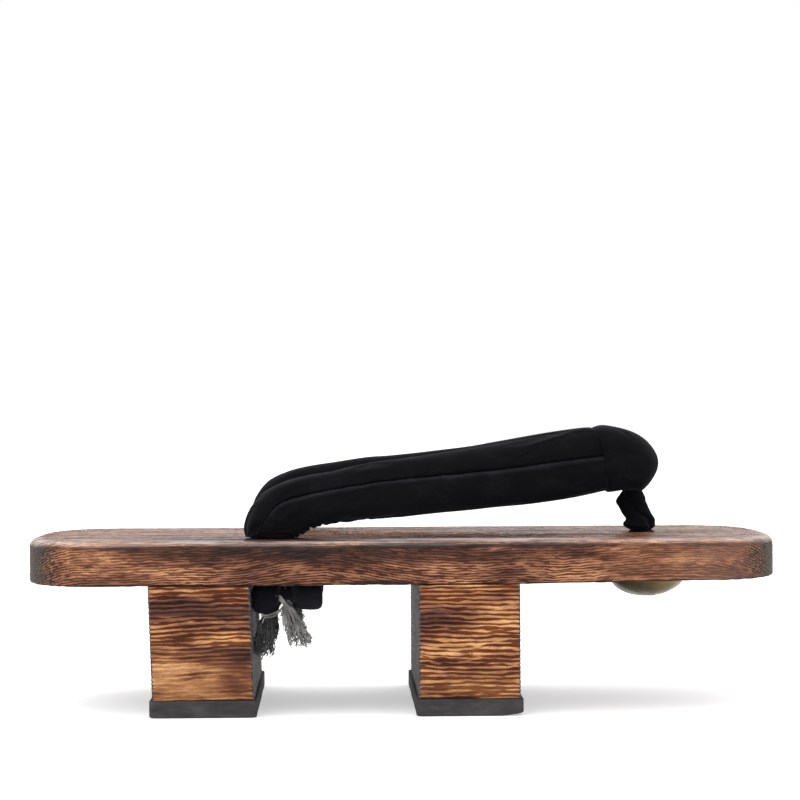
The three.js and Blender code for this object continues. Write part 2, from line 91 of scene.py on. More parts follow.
# Adds a node to a tree. Inputs are set by name or number, to a value or to another node's socket.
def add(tree, kind, inputs=None, **settings):
    made = tree.nodes.new(kind)
    for name, value in settings.items():
        setattr(made, name, value)
    for key, value in (inputs or {}).items():
        if isinstance(value, bpy.types.NodeSocket):
            tree.links.new(value, made.inputs[key])
        else:
            made.inputs[key].default_value = value
    return made


# New material: its tree and its shader, with the numbers that are the same all over it.
def finish(name, **constants):
    material = bpy.data.materials.new(name)
    material.use_nodes = True
    shader = material.node_tree.nodes["Principled BSDF"]
    for key, value in constants.items():
        shader.inputs[key.replace("_", " ")].default_value = value
    return material, material.node_tree, shader


# Colour from 0 to 255, as it looks on a screen, turned into light.
def linear(red, green, blue):
    parts = [(c / 255 / 12.92) if c < 11 else ((c / 255 + 0.055) / 1.055) ** 2.4 for c in (red, green, blue)]
    return (*parts, 1)


bpy.ops.mesh.primitive_plane_add(size=floor_size)
floor = bpy.context.object
floor.name = "floor"
floor_paint, tree, shader = finish("floor_paint", Roughness=0.9, Emission_Strength=floor_glow)
shader.inputs["Base Color"].default_value = (floor_white, floor_white, floor_white, 1)
shader.inputs["Emission Color"].default_value = (1, 1, 1, 1)
floor.data.materials.append(floor_paint)

lamp_rows = [
    {"name": "lamp_over_heel", "place": (-0.5, -0.5, 1.3), "size": 1.2, "watts": 9},
    {"name": "lamp_over_toe", "place": (0.7, 0.4, 1.4), "size": 1.4, "watts": 4},
]
for row in lamp_rows:
    lamp_data = bpy.data.lights.new(row["name"], "AREA")
    lamp_data.size = row["size"]
    lamp_data.energy = row["watts"]
    lamp = bpy.data.objects.new(row["name"], lamp_data)
    bpy.context.scene.collection.objects.link(lamp)
    lamp.location = row["place"]
    lamp.rotation_euler = (-Vector(row["place"])).to_track_quat("-Z", "Y").to_euler()

# Board: one plank of burnt and brushed wood, its grain along the foot. The soft wood between
# the rings is brushed away, the ends are rounded, and the top edge is eased by hand.
board_low, board_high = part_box("board")
board_length = board_high.x - board_low.x
board_width = board_high.y - board_low.y
board_top = board_high.z
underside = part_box("tooth_front")[1].z
end_depth = 30 * mm
end_squareness = 2.8
top_edge_in = 4.4 * mm
top_edge_down = 2.8 * mm
low_edge_round = 0.8 * mm
toe_relief = 1.2 * mm
front_tooth_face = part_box("tooth_front")[1].x
front_hole_from_toe = 45.8 * mm
rear_hole_from_tooth = 6.7 * mm
rear_tooth_lean = 1.4 * mm
front_hole_x = board_high.x - front_hole_from_toe
rear_hole_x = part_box("tooth_rear")[1].x - rear_tooth_lean + rear_hole_from_tooth
rear_hole_side = 33.5 * mm
hole_radius = {"front": 5 * mm, "rear": 4.2 * mm}
brush_depth = 0.24 * mm
# How the growth rings run, in millimetres: their spacing, how long and thick a ridge stays whole,
# how far they drift over the plank, sway over a few centimetres and shiver over a few millimetres,
# and the bows that they make: where along the foot, how far each reaches and how high it rises.
# Wave is how much the rings count beside the flecks, and bare is where a hollow turns to ridge.
board_grain = {"spacing": 0.8, "long": 4.0, "thick": 0.5, "drift": 6.0, "sway": 1.5, "shiver": 0.8,
               "wave": 0.14, "bare": (0.5, 0.68), "bows": [(-30.0, 40.0, 3.4), (62.0, 26.0, -1.5)]}


# Object from corners and faces, smooth shaded, with its faces turned outward.
def solid_object(name, points, faces, material):
    mesh = bpy.data.meshes.new(name)
    mesh.from_pydata([tuple(map(float, p)) for p in points], [], [tuple(map(int, f)) for f in faces])
    build = bmesh.new()
    build.from_mesh(mesh)
    bmesh.ops.remove_doubles(build, verts=build.verts, dist=1e-7)
    bmesh.ops.recalc_face_normals(build, faces=build.faces)
    build.to_mesh(mesh)
    build.free()
    mesh.shade_smooth()
    made = bpy.data.objects.new(name, mesh)
    bpy.context.scene.collection.objects.link(made)
    made.data.materials.append(material)
    return made


# One step of arithmetic on sockets and numbers.
def reckon(tree, operation, *values, clamp=False):
    inputs = dict(enumerate(values))
    return add(tree, "ShaderNodeMath", inputs, operation=operation, use_clamp=clamp).outputs[0]


def stretched(tree, place, *factors):
    return add(tree, "ShaderNodeVectorMath", {0: place, 1: factors}, operation="MULTIPLY").outputs[0]


def noise(tree, place, detail=2.0, rough=0.5, twist=0.0):
    return add(tree, "ShaderNodeTexNoise", {
        "Vector": place, "Scale": 1.0, "Detail": detail, "Roughness": rough, "Distortion": twist,
    }).outputs["Fac"]


# Soft step from 0 at one value to 1 at another.
def fade(tree, value, start, end, low=0.0, high=1.0):
    return add(tree, "ShaderNodeMapRange", {
        "Value": value, "From Min": start, "From Max": end, "To Min": low, "To Max": high,
    }, interpolation_type="SMOOTHSTEP").outputs[0]


# How far a millimetre up and a millimetre toward the far side lead across the rings.
ring_up = 0.9
ring_aside = 0.42


# Growth rings of a piece of wood at a place: the place in millimetres, how far a hard ridge stands
# out there, from 0 in the brushed hollow to 1 on the ridge, and the fine fibres along the rings.
def growth_rings(tree, place, grain):
    spot = stretched(tree, place, 1 / mm, 1 / mm, 1 / mm)
    axes = add(tree, "ShaderNodeSeparateXYZ", {0: spot}).outputs
    aside = reckon(tree, "MULTIPLY", axes[1], ring_aside)
    depth = reckon(tree, "MULTIPLY_ADD", axes[2], ring_up, aside)
    for middle, reach, rise in grain["bows"]:
        away = reckon(tree, "ABSOLUTE", reckon(tree, "SUBTRACT", axes[0], middle))
        depth = reckon(tree, "SUBTRACT", depth, fade(tree, away, 0.0, reach, rise, 0.0))
    for name, along, across in (("drift", 0.012, 0.03), ("sway", 0.05, 0.13), ("shiver", 0.2, 0.42)):
        moved = noise(tree, stretched(tree, spot, along, across, across), detail=1)
        depth = reckon(tree, "MULTIPLY_ADD", moved, grain[name], depth)
    wave = reckon(tree, "SINE", reckon(tree, "MULTIPLY", depth, 2 * math.pi / grain["spacing"]))
    laid = add(tree, "ShaderNodeCombineXYZ", {0: axes[0], 1: axes[1], 2: depth}).outputs[0]
    flecks = stretched(tree, laid, 1 / grain["long"], 0.5 / grain["thick"], 1 / grain["thick"])
    whole = noise(tree, flecks, detail=1)
    fibre = noise(tree, stretched(tree, laid, 0.3, 2.0, 3.1), detail=3, rough=0.65)
    height = reckon(tree, "MULTIPLY_ADD", wave, grain["wave"], whole)
    height = reckon(tree, "MULTIPLY_ADD", fibre, 0.16, height)
    return spot, fade(tree, height, *grain["bare"]), fibre


# Places along the outline from heel to toe, evenly spaced, as x and half width.
def outline(inset, count):
    turn = np.linspace(0, math.pi / 2, 400)
    along = (end_depth - inset) * np.cos(turn) ** (2 / end_squareness)
    aside = (board_width / 2 - inset) * np.sin(turn) ** (2 / end_squareness)
    end_start = board_length / 2 - end_depth
    toe = np.stack([end_start + along, aside], axis=1)
    heel = np.stack([-end_start - along, aside], axis=1)
    line = np.concatenate([heel, toe[::-1]])
    length = np.concatenate([[0], np.cumsum(np.linalg.norm(np.diff(line, axis=0), axis=1))])
    even = np.linspace(0, length[-1], count)
    return np.stack([np.interp(even, length, line[:, axis]) for axis in (0, 1)], axis=1)


# The board as rings from its underside up to its top, with both faces filled by rows across. Ahead
# of the front tooth its underside rises toward the toe.
def board_mesh(name, material):
    stations, top_rows, low_rows = 195, 190, 70
    arc = np.linspace(0, math.pi / 2, 7)
    levels = [(low_edge_round * (1 - math.sin(a)), underside + low_edge_round * (1 - math.cos(a)))
              for a in arc[::3]]
    shoulder = board_top - top_edge_down
    levels += [(0, z) for z in np.linspace(underside + low_edge_round, shoulder, 46)[1:-1]]
    levels += [(top_edge_in * (1 - math.cos(a)), shoulder + top_edge_down * math.sin(a)) for a in arc]
    slope = toe_relief / (board_high.x - front_tooth_face)
    points, faces = [], []
    last = stations - 1
    around = 2 * last
    for inset, z in levels:
        near = outline(inset, stations)
        ring = np.concatenate([near * (1, -1), near[-2:0:-1]])
        lifted = np.maximum(ring[:, 0] - front_tooth_face, 0) * slope * (shoulder - min(z, shoulder)) / (
            shoulder - underside)
        points += [(x, y, z + rise) for (x, y), rise in zip(ring, lifted)]
    for level in range(len(levels) - 1):
        for side in range(around):
            beside = (side + 1) % around
            base = level * around
            faces.append((base + side, base + beside, base + around + beside, base + around + side))
    for first, rows in ((0, low_rows), ((len(levels) - 1) * around, top_rows)):
        rim = np.array(points[first:first + around])
        index = np.zeros((stations, rows + 1), int)
        for i in range(stations):
            near_side, far_side = i, (around - i) % around
            index[i, 0], index[i, -1] = first + near_side, first + far_side
            if i in (0, last):
                index[i, :] = first + near_side
                continue
            index[i, 1:-1] = len(points) + np.arange(rows - 1)
            share = np.linspace(0, 1, rows + 1)[1:-1, None]
            points += list(map(tuple, rim[near_side] * (1 - share) + rim[far_side] * share))
        for i in range(last):
            for k in range(rows):
                corners = [index[i, k], index[i + 1, k], index[i + 1, k + 1], index[i, k + 1]]
                face = list(dict.fromkeys(corners))
                if len(face) > 2:
                    faces.append(face)
    return solid_object(name, points, faces, material)


# Brushed relief as Geometry Nodes: the soft wood between the rings is sunk by the brush depth.
def brushed_relief(name, grain):
    tree = bpy.data.node_groups.new(name, "GeometryNodeTree")
    tree.interface.new_socket("Geometry", in_out="INPUT", socket_type="NodeSocketGeometry")
    deep = tree.interface.new_socket("Depth", in_out="INPUT", socket_type="NodeSocketFloat")
    finish_socket = tree.interface.new_socket("Finish", in_out="INPUT", socket_type="NodeSocketMaterial")
    tree.interface.new_socket("Geometry", in_out="OUTPUT", socket_type="NodeSocketGeometry")
    given = add(tree, "NodeGroupInput").outputs
    place = add(tree, "GeometryNodeInputPosition").outputs[0]
    normal = add(tree, "GeometryNodeInputNormal").outputs[0]
    spot, rise, fibre = growth_rings(tree, place, grain)
    height = reckon(tree, "MULTIPLY_ADD", fibre, 0.3, reckon(tree, "MULTIPLY", rise, 0.7))
    sunk = reckon(tree, "MULTIPLY", reckon(tree, "SUBTRACT", height, 1.0), given["Depth"])
    offset = add(tree, "ShaderNodeVectorMath", {0: normal, "Scale": sunk}, operation="SCALE").outputs[0]
    moved = add(tree, "GeometryNodeSetPosition", {"Geometry": given["Geometry"], "Offset": offset}).outputs[0]
    whole = add(tree, "GeometryNodeRealizeInstances", {0: moved}).outputs[0]
    painted = add(tree, "GeometryNodeSetMaterial", {
        "Geometry": whole, "Material": given["Finish"]}).outputs[0]
    add(tree, "NodeGroupOutput", {0: painted})
    return tree, deep.identifier, finish_socket.identifier


relief_tree, relief_depth, relief_finish = brushed_relief("brushed_board", board_grain)


# Keeps what a modifier makes of a piece as its plain mesh.
def settled(piece, modifier):
    bpy.context.view_layer.update()
    evaluated = piece.evaluated_get(bpy.context.evaluated_depsgraph_get())
    result = bpy.data.meshes.new_from_object(evaluated)
    piece.modifiers.remove(modifier)
    old = piece.data
    piece.data = result
    result.name = piece.name
    bpy.data.meshes.remove(old)


# Runs a node tree on an object and keeps its result as a plain mesh.
def made_plain(piece, tree, inputs):
    modifier = piece.modifiers.new(tree.name, "NODES")
    modifier.node_group = tree
    for key, value in inputs.items():
        modifier[key] = value
    settled(piece, modifier)
    piece.data.shade_smooth()


# Colour ramp over a value, from rows of position and colour.
def ramp(tree, value, stops):
    made = add(tree, "ShaderNodeValToRGB", {"Fac": value})
    band = made.color_ramp
    for position, colour in stops[1:-1]:
        band.elements.new(position)
    for element, (position, colour) in zip(band.elements, stops):
        element.position = position
        element.color = linear(*colour)
    return made.outputs["Color"]


def mixed(tree, share, first, second, kind="RGBA"):
    start, end, result = {"RGBA": (6, 7, 2), "FLOAT": (2, 3, 0)}[kind]
    return add(tree, "ShaderNodeMix", {0: share, start: first, end: second}, data_type=kind).outputs[result]


# Soft patch that is 1 at its middle and 0 past its size, both in millimetres.
def patch(tree, spot, middle, size):
    away = add(tree, "ShaderNodeVectorMath", {0: spot, 1: middle}, operation="SUBTRACT").outputs[0]
    away = stretched(tree, away, *[1 / s for s in size])
    far = add(tree, "ShaderNodeVectorMath", {0: away}, operation="LENGTH").outputs["Value"]
    return fade(tree, far, 1.0, 0.25)


# Burnt wood. The brush has cut the ridges to bare wood, and the hollows keep the burn. Rows of
# patches place where it is burnt more or less, where the ridges hardly show (calm), where a painted
# sheen lightens it as a painted highlight and where its gloss is gone (dull). Faces across the grain
# are burnt grey, faces turned down are painted darker as painted shade, the eased top edge is bare
# with a painted shadow line under it and a painted highlight along its top, and the top has a soft
# gloss.
def burnt_wood(name, grain, tones, patches, end_stops, bare_edge=None):
    material, tree, shader = finish(name, Specular_IOR_Level=0.1, Coat_Roughness=0.22)
    place = add(tree, "ShaderNodeTexCoord").outputs["Object"]
    spot, rise, fibre = growth_rings(tree, place, grain)
    axes = add(tree, "ShaderNodeSeparateXYZ", {0: spot}).outputs
    ragged = noise(tree, stretched(tree, spot, 0.06, 0.3, 0.42), detail=3, rough=0.6)
    streak = noise(tree, stretched(tree, spot, 0.018, 0.15, 0.3), detail=4, rough=0.62)
    splash = noise(tree, stretched(tree, spot, 0.05, 0.5, 1.1), detail=3, rough=0.65)
    burn = fade(tree, noise(tree, stretched(tree, spot, 0.035, 0.13, 0.17), detail=3, rough=0.62), 0.32, 0.7)
    burn = reckon(tree, "MULTIPLY_ADD", burn, tones["uneven"], tones["burn"])
    layers = {"burn": burn, "calm": 0.0, "painted_sheen": 0.0, "dull": 0.0}
    for row in patches:
        near = patch(tree, spot, row["middle"], row["size"])
        near = reckon(tree, "MULTIPLY", near, fade(tree, ragged, 0.28, 0.56, 0.35, 1.0))
        for key in layers.keys() & row.keys():
            layers[key] = reckon(tree, "MULTIPLY_ADD", near, row[key], layers[key])
    normal = add(tree, "ShaderNodeNewGeometry").outputs["Normal"]
    facing = add(tree, "ShaderNodeSeparateXYZ", {0: normal}).outputs
    # Faces turned down are painted darker, as painted shade.
    burn = reckon(tree, "ADD", layers["burn"], fade(tree, facing[2], -0.15, -0.6, 0.0, 0.5))
    painted_sheen = layers["painted_sheen"]
    if bare_edge:
        # Along the board's top edge: the bare band is lighter wood, the line under it is painted shadow, and
        # the band along its top (worn) is a painted highlight.
        bare, line, worn = (
            reckon(tree, "MULTIPLY", fade(tree, axes[2], *low), fade(tree, axes[2], *high))
            for low, high in (bare_edge["bare"], bare_edge["line"], bare_edge["worn"]))
        burn = reckon(tree, "MULTIPLY_ADD", bare, bare_edge["burn"], burn)
        burn = reckon(tree, "MULTIPLY_ADD", line, bare_edge["shadow"], burn)
        worn = reckon(tree, "MULTIPLY", worn, fade(tree, splash, 0.4, 0.6, 0.05, 1.0))
        painted_sheen = reckon(tree, "MULTIPLY_ADD", worn, bare_edge["painted_sheen"], painted_sheen)
    burn = reckon(tree, "ADD", burn, 0.0, clamp=True)
    ridge_shown = mixed(tree, reckon(tree, "MINIMUM", layers["calm"], 1.0), rise, 0.45, kind="FLOAT")
    colour = mixed(tree, ridge_shown, ramp(tree, burn, tones["hollow"]), ramp(tree, burn, tones["ridge"]))
    shade = fade(tree, fibre, 0.3, 0.72, 1.22, 0.76)
    shaded = add(tree, "ShaderNodeVectorMath", {0: colour, "Scale": shade}, operation="SCALE").outputs[0]
    pores = noise(tree, stretched(tree, spot, 0.8, 3.6, 4.4), detail=1)
    colour = mixed(tree, fade(tree, pores, 0.6, 0.74, 0.0, 0.6), shaded, linear(*tones["pore"]))
    # The sheen share lightens the colour toward a whitish tint, as painted sheen: a painted highlight.
    colour = mixed(tree, reckon(tree, "ADD", painted_sheen, 0.0, clamp=True), colour, linear(*tones["painted_sheen"]))
    across = reckon(tree, "MULTIPLY_ADD", rise, -0.22, reckon(tree, "ABSOLUTE", facing[0]))
    end_face = fade(tree, across, *tones["end"])
    dots = noise(tree, stretched(tree, spot, 1.5, 1.9, 2.3), detail=3, rough=0.7)
    end_tone = reckon(tree, "MULTIPLY_ADD", rise, 0.2, reckon(tree, "MULTIPLY", dots, 0.8))
    colour = mixed(tree, end_face, colour, ramp(tree, end_tone, end_stops))
    tree.links.new(colour, shader.inputs["Base Color"])
    tree.links.new(fade(tree, fibre, 0.2, 0.8, 0.42, 0.7), shader.inputs["Roughness"])
    upward = fade(tree, facing[2], 0.1, 0.55)
    waxed = reckon(tree, "MULTIPLY_ADD", ragged, 0.2, reckon(tree, "MULTIPLY", streak, 0.8))
    gloss = fade(tree, waxed, 0.35, 0.56, 0.25, 1.0)
    gloss = reckon(tree, "MULTIPLY", gloss, reckon(tree, "SUBTRACT", 1.0, layers["dull"], clamp=True))
    gloss = reckon(tree, "MULTIPLY", gloss, tones["gloss"])
    tree.links.new(reckon(tree, "MULTIPLY", upward, gloss), shader.inputs["Coat Weight"])
    height = reckon(tree, "MULTIPLY_ADD", fibre, 0.6, rise)
    height = reckon(tree, "MULTIPLY_ADD", dots, 0.25, height)
    bump = add(tree, "ShaderNodeBump", {"Strength": 0.6, "Distance": 0.3 * mm, "Height": height})
    tree.links.new(bump.outputs[0], shader.inputs["Normal"])
    return material


board_tones = {
    "burn": 0.16, "uneven": 0.46, "gloss": 1.0, "end": (0.35, 0.75), "pore": (44, 24, 19),
    # Whitish tint of the painted sheen, a painted highlight.
    "painted_sheen": (208, 192, 190),
    "hollow": [(0.0, (104, 61, 40)), (0.35, (74, 39, 27)), (0.7, (50, 26, 19)), (1.0, (31, 19, 18))],
    "ridge": [(0.0, (214, 160, 116)), (0.35, (160, 109, 82)), (0.7, (96, 62, 49)), (1.0, (58, 42, 38))],
}
board_end_stops = [(0.22, (22, 18, 15)), (0.5, (56, 45, 38)), (0.8, (112, 94, 80))]
# Patches: their middle and reach in millimetres, and what they add there.
board_patches = [
    {"middle": (12, -52, 58), "size": (92, 60, 8.5), "burn": 0.5, "calm": 0.35},
    {"middle": (-62, -52, 58.5), "size": (50, 60, 8), "burn": 0.38, "calm": 0.25},
    {"middle": (-46, -52, 51), "size": (46, 60, 8), "burn": 0.14},
    {"middle": (-100, -52, 54), "size": (40, 30, 14), "burn": 0.04, "calm": 0.35},
    {"middle": (-98, -52, 50), "size": (46, 30, 3), "burn": -0.24},
    {"middle": (-98, -52, 57), "size": (34, 30, 4), "burn": -0.12},
    {"middle": (-128, -52, 54), "size": (12, 30, 12), "burn": 0.25},
    {"middle": (-4, -52, 49), "size": (32, 30, 5), "burn": -0.1},
    {"middle": (40, -52, 48.5), "size": (34, 30, 5), "burn": 0.14},
    {"middle": (80, -52, 53), "size": (24, 30, 4), "burn": -0.12},
    {"middle": (110, -52, 57), "size": (34, 30, 4), "burn": 0.12},
    {"middle": (-8, -52, 46.4), "size": (14, 30, 1.4), "burn": 0.8, "calm": 0.6},
    {"middle": (82, -52, 53), "size": (22, 30, 14), "burn": -0.06, "calm": 0.55},
    # A sheen share in a patch is painted sheen, a painted highlight: near the toe, on the top and along its
    # near top edge.
    {"middle": (118, -52, 53), "size": (34, 30, 16), "burn": 0.06, "calm": 0.75, "painted_sheen": 0.05},
    {"middle": (20, -35, 61), "size": (62, 4.5, 2), "burn": 0.34, "calm": 0.6, "painted_sheen": 0.16},
    {"middle": (26, -46, 61.2), "size": (64, 6, 1.4), "painted_sheen": 1.1},
    {"middle": (26, -52, 59.6), "size": (60, 6, 1.3), "burn": 0.35},
    {"middle": (-96, -50, 60.6), "size": (52, 12, 1.6), "painted_sheen": 0.16},
    {"middle": (-46, -40, 61), "size": (30, 8, 2), "burn": 0.5, "dull": 1},
    {"middle": (86, -34, 61), "size": (26, 6, 2), "burn": 0.5, "dull": 1},
    {"middle": (-60, -26, 61), "size": (70, 5, 3), "burn": 0.3, "dull": 0.5},
    {"middle": (72, -20, 61), "size": (44, 6, 3), "burn": 0.4, "dull": 0.9},
    {"middle": (96, -2, 61), "size": (34, 9, 3), "burn": 0.35, "dull": 0.5},
]
top_level = board_top / mm
# The bare edge, the painted shadow line under it and the painted highlight line along its top, each as
# the two heights where it starts and the two where it ends.
bare_edge = {
    "bare": ((top_level - 1.9, top_level - 1.4), (top_level - 0.3, top_level - 0.7)),
    "line": ((top_level - 3.4, top_level - 2.4), (top_level - 1.5, top_level - 2.1)),
    "worn": ((top_level - 1.3, top_level - 0.8), (top_level - 0.15, top_level - 0.4)),
    "burn": -0.3, "shadow": 0.26, "painted_sheen": 0.5,
}
board_wood = burnt_wood("board_wood", board_grain, board_tones, board_patches, board_end_stops, bare_edge)
board = board_mesh("board_plank", board_wood)


# Cuts a round hole through a piece, from just under it to just over it.
def drill(piece, x, y, radius, low, high):
    bpy.ops.mesh.primitive_cylinder_add(
        vertices=48, radius=radius, depth=high - low, location=(x, y, (low + high) / 2))
    pin = bpy.context.object
    cut = piece.modifiers.new("hole", "BOOLEAN")
    cut.operation = "DIFFERENCE"
    cut.solver = "EXACT"
    cut.object = pin
    settled(piece, cut)
    bpy.data.objects.remove(pin)


drill_over = 2 * mm
for which, x, y in (("front", front_hole_x, 0), ("rear", rear_hole_x, -rear_hole_side),
                    ("rear", rear_hole_x, rear_hole_side)):
    drill(board, x, y, hole_radius[which], underside - drill_over, board_top + drill_over)
made_plain(board, relief_tree, {relief_depth: brush_depth, relief_finish: board_wood})
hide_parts("board")
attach(board, "root")

# Teeth: two blocks of the same burnt wood, glued under the board with their grain along the
# foot, so their sides show long ridges and their front and back show burnt end grain.
tooth_corner = 1 * mm


# Outline of an upright block with rounded corners, from x = 0 to its length, middled on y = 0.
def block_ring(length, half_width, corner):
    long_steps, wide_steps, corner_steps = 20, 110, 4
    ring = []
    for x0, y0, x1, y1, steps in (
        (corner, -half_width, length - corner, -half_width, long_steps),
        (length, corner - half_width, length, half_width - corner, wide_steps),
        (length - corner, half_width, corner, half_width, long_steps),
        (0, half_width - corner, 0, corner - half_width, wide_steps),
    ):
        share = np.linspace(0, 1, steps + 1)[:, None]
        side = np.array([x0, y0]) * (1 - share) + np.array([x1, y1]) * share
        turn = math.atan2(y1 - y0, x1 - x0)
        middle = side[-1] + corner * np.array([math.cos(turn + math.pi / 2), math.sin(turn + math.pi / 2)])
        ring += list(side)
        for step in range(1, corner_steps):
            angle = turn - math.pi / 2 + math.pi / 2 * step / corner_steps
            ring.append(middle + corner * np.array([math.cos(angle), math.sin(angle)]))
    return np.array(ring)


# Closed skin over rings of equal count, with both ends filled, or a closed ring of sections.
def skin(name, rings, material, closed=False):
    rings = [np.asarray(ring, float) for ring in rings]
    around, count = len(rings[0]), len(rings)
    points = list(np.concatenate(rings))
    faces = []
    for row in range(count if closed else count - 1):
        below, above = row * around, (row + 1) % count * around
        for side in range(around):
            beside = (side + 1) % around
            faces.append((below + side, below + beside, above + beside, above + side))
    if not closed:
        for first, ring in ((0, rings[0]), ((count - 1) * around, rings[-1])):
            points.append(ring.mean(0))
            for side in range(around):
                faces.append((first + side, first + (side + 1) % around, len(points) - 1))
    return solid_object(name, points, faces, material)


# Tooth block whose foot may lean toward the toe.
def tooth_mesh(name, heel_foot, heel_top, length, low, high, material):
    ring = block_ring(length, board_width / 2, tooth_corner)
    rings = []
    for share in np.linspace(0, 1, 113):
        heel = heel_foot * (1 - share) + heel_top * share
        rings.append([(heel + x, y, low * (1 - share) + high * share) for x, y in ring])
    return skin(name, rings, material)


tooth_grain = {"spacing": 1.45, "long": 8.0, "thick": 0.86, "drift": 5.0, "sway": 2.2, "shiver": 0.7,
               "wave": 0.17, "bare": (0.54, 0.68), "bows": []}
tooth_tones = {
    "burn": 0.26, "uneven": 0.6, "gloss": 0.0, "end": (0.05, 0.6), "pore": (58, 28, 18),
    # Tint of the painted sheen, a painted highlight.
    "painted_sheen": (240, 206, 172),
    "hollow": [(0.0, (150, 90, 44)), (0.35, (104, 52, 24)), (0.7, (64, 29, 18)), (1.0, (38, 19, 16))],
    "ridge": [(0.0, (232, 186, 138)), (0.3, (206, 154, 106)), (0.65, (148, 98, 68)), (1.0, (92, 58, 46))],
}
tooth_end_stops = [(0.22, (34, 32, 31)), (0.5, (72, 68, 66)), (0.8, (128, 124, 122))]
tooth_patches = {
    "rear": [
        {"middle": (-71, -52, 36), "size": (40, 30, 9), "burn": 0.4},
        {"middle": (-71, -52, 36.4), "size": (50, 30, 1.5), "burn": 0.5, "calm": 0.6},
        {"middle": (-74, -52, 23), "size": (40, 30, 6), "burn": 0.16, "calm": 0.2},
        {"middle": (-74, -52, 12), "size": (44, 30, 14), "burn": -0.33, "calm": 0.85},
        {"middle": (-57, -52, 14), "size": (9, 30, 14), "burn": 0.35},
    ],
    "front": [
        {"middle": (12, -52, 33), "size": (20, 30, 9), "burn": 0.45},
        {"middle": (24, -52, 23), "size": (34, 30, 8), "burn": -0.2},
        {"middle": (22, -52, 10), "size": (44, 30, 7), "burn": 0.12, "calm": 0.25},
    ],
}
tooth_relief, tooth_depth, tooth_finish = brushed_relief("brushed_teeth", tooth_grain)
for which, lean in (("rear", rear_tooth_lean), ("front", 0.0)):
    low_corner, high_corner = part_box(f"tooth_{which}")
    tooth_length = high_corner.x - low_corner.x - lean
    tooth_wood = burnt_wood(
        f"tooth_wood_{which}", tooth_grain, tooth_tones, tooth_patches[which], tooth_end_stops)
    tooth = tooth_mesh(f"tooth_block_{which}", low_corner.x + lean, low_corner.x, tooth_length,
                       low_corner.z, high_corner.z, tooth_wood)
    made_plain(tooth, tooth_relief, {tooth_depth: brush_depth, tooth_finish: tooth_wood})
    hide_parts(f"tooth_{which}")
    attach(tooth, "root")

# Lifts: slabs of black rubber cut by hand and glued under the teeth, standing a millimetre
# proud of the wood all round. The front one is worn off at its toe edge.
lift_overhang = 1 * mm
lift_edge = 0.8 * mm
lift_wear = 1 * mm
lift_wear_length = 7 * mm
cut_wobble = 0.16 * mm
# The knife's wobble: its waves along and across a side, and the wave along the front and the back.
cut_waves = (4.1 * mm, 9 * mm, 5.3 * mm)
# How the top edge is broken: inset and distance below the top of its last levels.
lift_top_edge = [(0.1 * mm, 0.1 * mm), (0.35 * mm, 0)]
lift_side_top = 0.3 * mm


def rubber_finish(name):
    material, tree, shader = finish(name, Roughness=0.8, Specular_IOR_Level=0.15)
    place = add(tree, "ShaderNodeTexCoord").outputs["Object"]
    spot = stretched(tree, place, 1 / mm, 1 / mm, 1 / mm)
    cloud = noise(tree, stretched(tree, spot, 0.12, 0.12, 0.3), detail=4, rough=0.6)
    crumb = noise(tree, stretched(tree, spot, 3.1, 3.1, 3.1), detail=2)
    colour = ramp(tree, cloud, [(0.3, (50, 47, 48)), (0.5, (60, 57, 58)), (0.72, (72, 70, 71))])
    tree.links.new(colour, shader.inputs["Base Color"])
    height = reckon(tree, "MULTIPLY_ADD", crumb, 0.4, cloud)
    bump = add(tree, "ShaderNodeBump", {"Strength": 0.3, "Distance": 0.15 * mm, "Height": height})
    tree.links.new(bump.outputs[0], shader.inputs["Normal"])
    return material


lift_rubber = rubber_finish("lift_rubber")
for which, wear in (("rear", 0.0), ("front", lift_wear)):
    low_corner, high_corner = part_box(f"lift_{which}")
    length = high_corner.x - low_corner.x
    half_width = high_corner.y
    corner = tooth_corner + lift_overhang
    arc = np.linspace(0, math.pi / 2, 5)
    levels = [(lift_edge * (1 - math.sin(a)), lift_edge * (1 - math.cos(a))) for a in arc]
    levels += [(0, z) for z in np.linspace(lift_edge, high_corner.z - lift_side_top, 9)[1:]]
    levels += [(inset, high_corner.z - below) for inset, below in lift_top_edge]
    rings = []
    for inset, z in levels:
        ring = block_ring(length - 2 * inset, half_width - inset, corner)
        ring[:, 0] += low_corner.x + inset
        along_side, across_side, along_end = cut_waves
        wobble = np.sin(ring[:, 0] / along_side + 1.3) * np.cos(ring[:, 1] / across_side)
        wobble = wobble + np.sin(ring[:, 1] / along_end)
        outward = np.sign(ring - (low_corner.x + length / 2, 0))
        ring = ring + 0.25 * cut_wobble * (wobble - 2)[:, None] * outward
        toward_toe = (ring[:, 0] - high_corner.x) / lift_wear_length + 1
        worn = np.clip(toward_toe, 0, 1) * wear
        rings.append(np.column_stack([ring, z + worn * (1 - z / high_corner.z)]))
    lift = skin(f"lift_slab_{which}", rings, lift_rubber)
    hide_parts(f"lift_{which}")
    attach(lift, "root")

# Thong: a padded tube of black velvet for each side of the foot, sewn shut along its outer side.
# Both legs meet at the apex; each goes down through its rear hole and ends in a flat tail that is
# tied off under the board.
gap = 0.3 * mm
thong_rise = 39.4 * mm
strap_wide = 16 * mm
strap_squareness = 2.5
seam_turn = math.radians(9)
leg_girth = 52 * mm
# Share of the apex rows up to which a leg is made; the wrap hides its end.
leg_end = 0.93
# How much lighter the velvet is painted at the seam's lower lip and along the leg's crest, as painted
# highlight.
seam_lip_highlight = 2.2
crest_highlight = 1.4
# Where that crest is and how wide, in degrees round the leg, counted as in its creases below.
crest_at = 72
crest_wide = 13
far_elbow_lift = 2 * mm
puff_room = 0.5 * mm
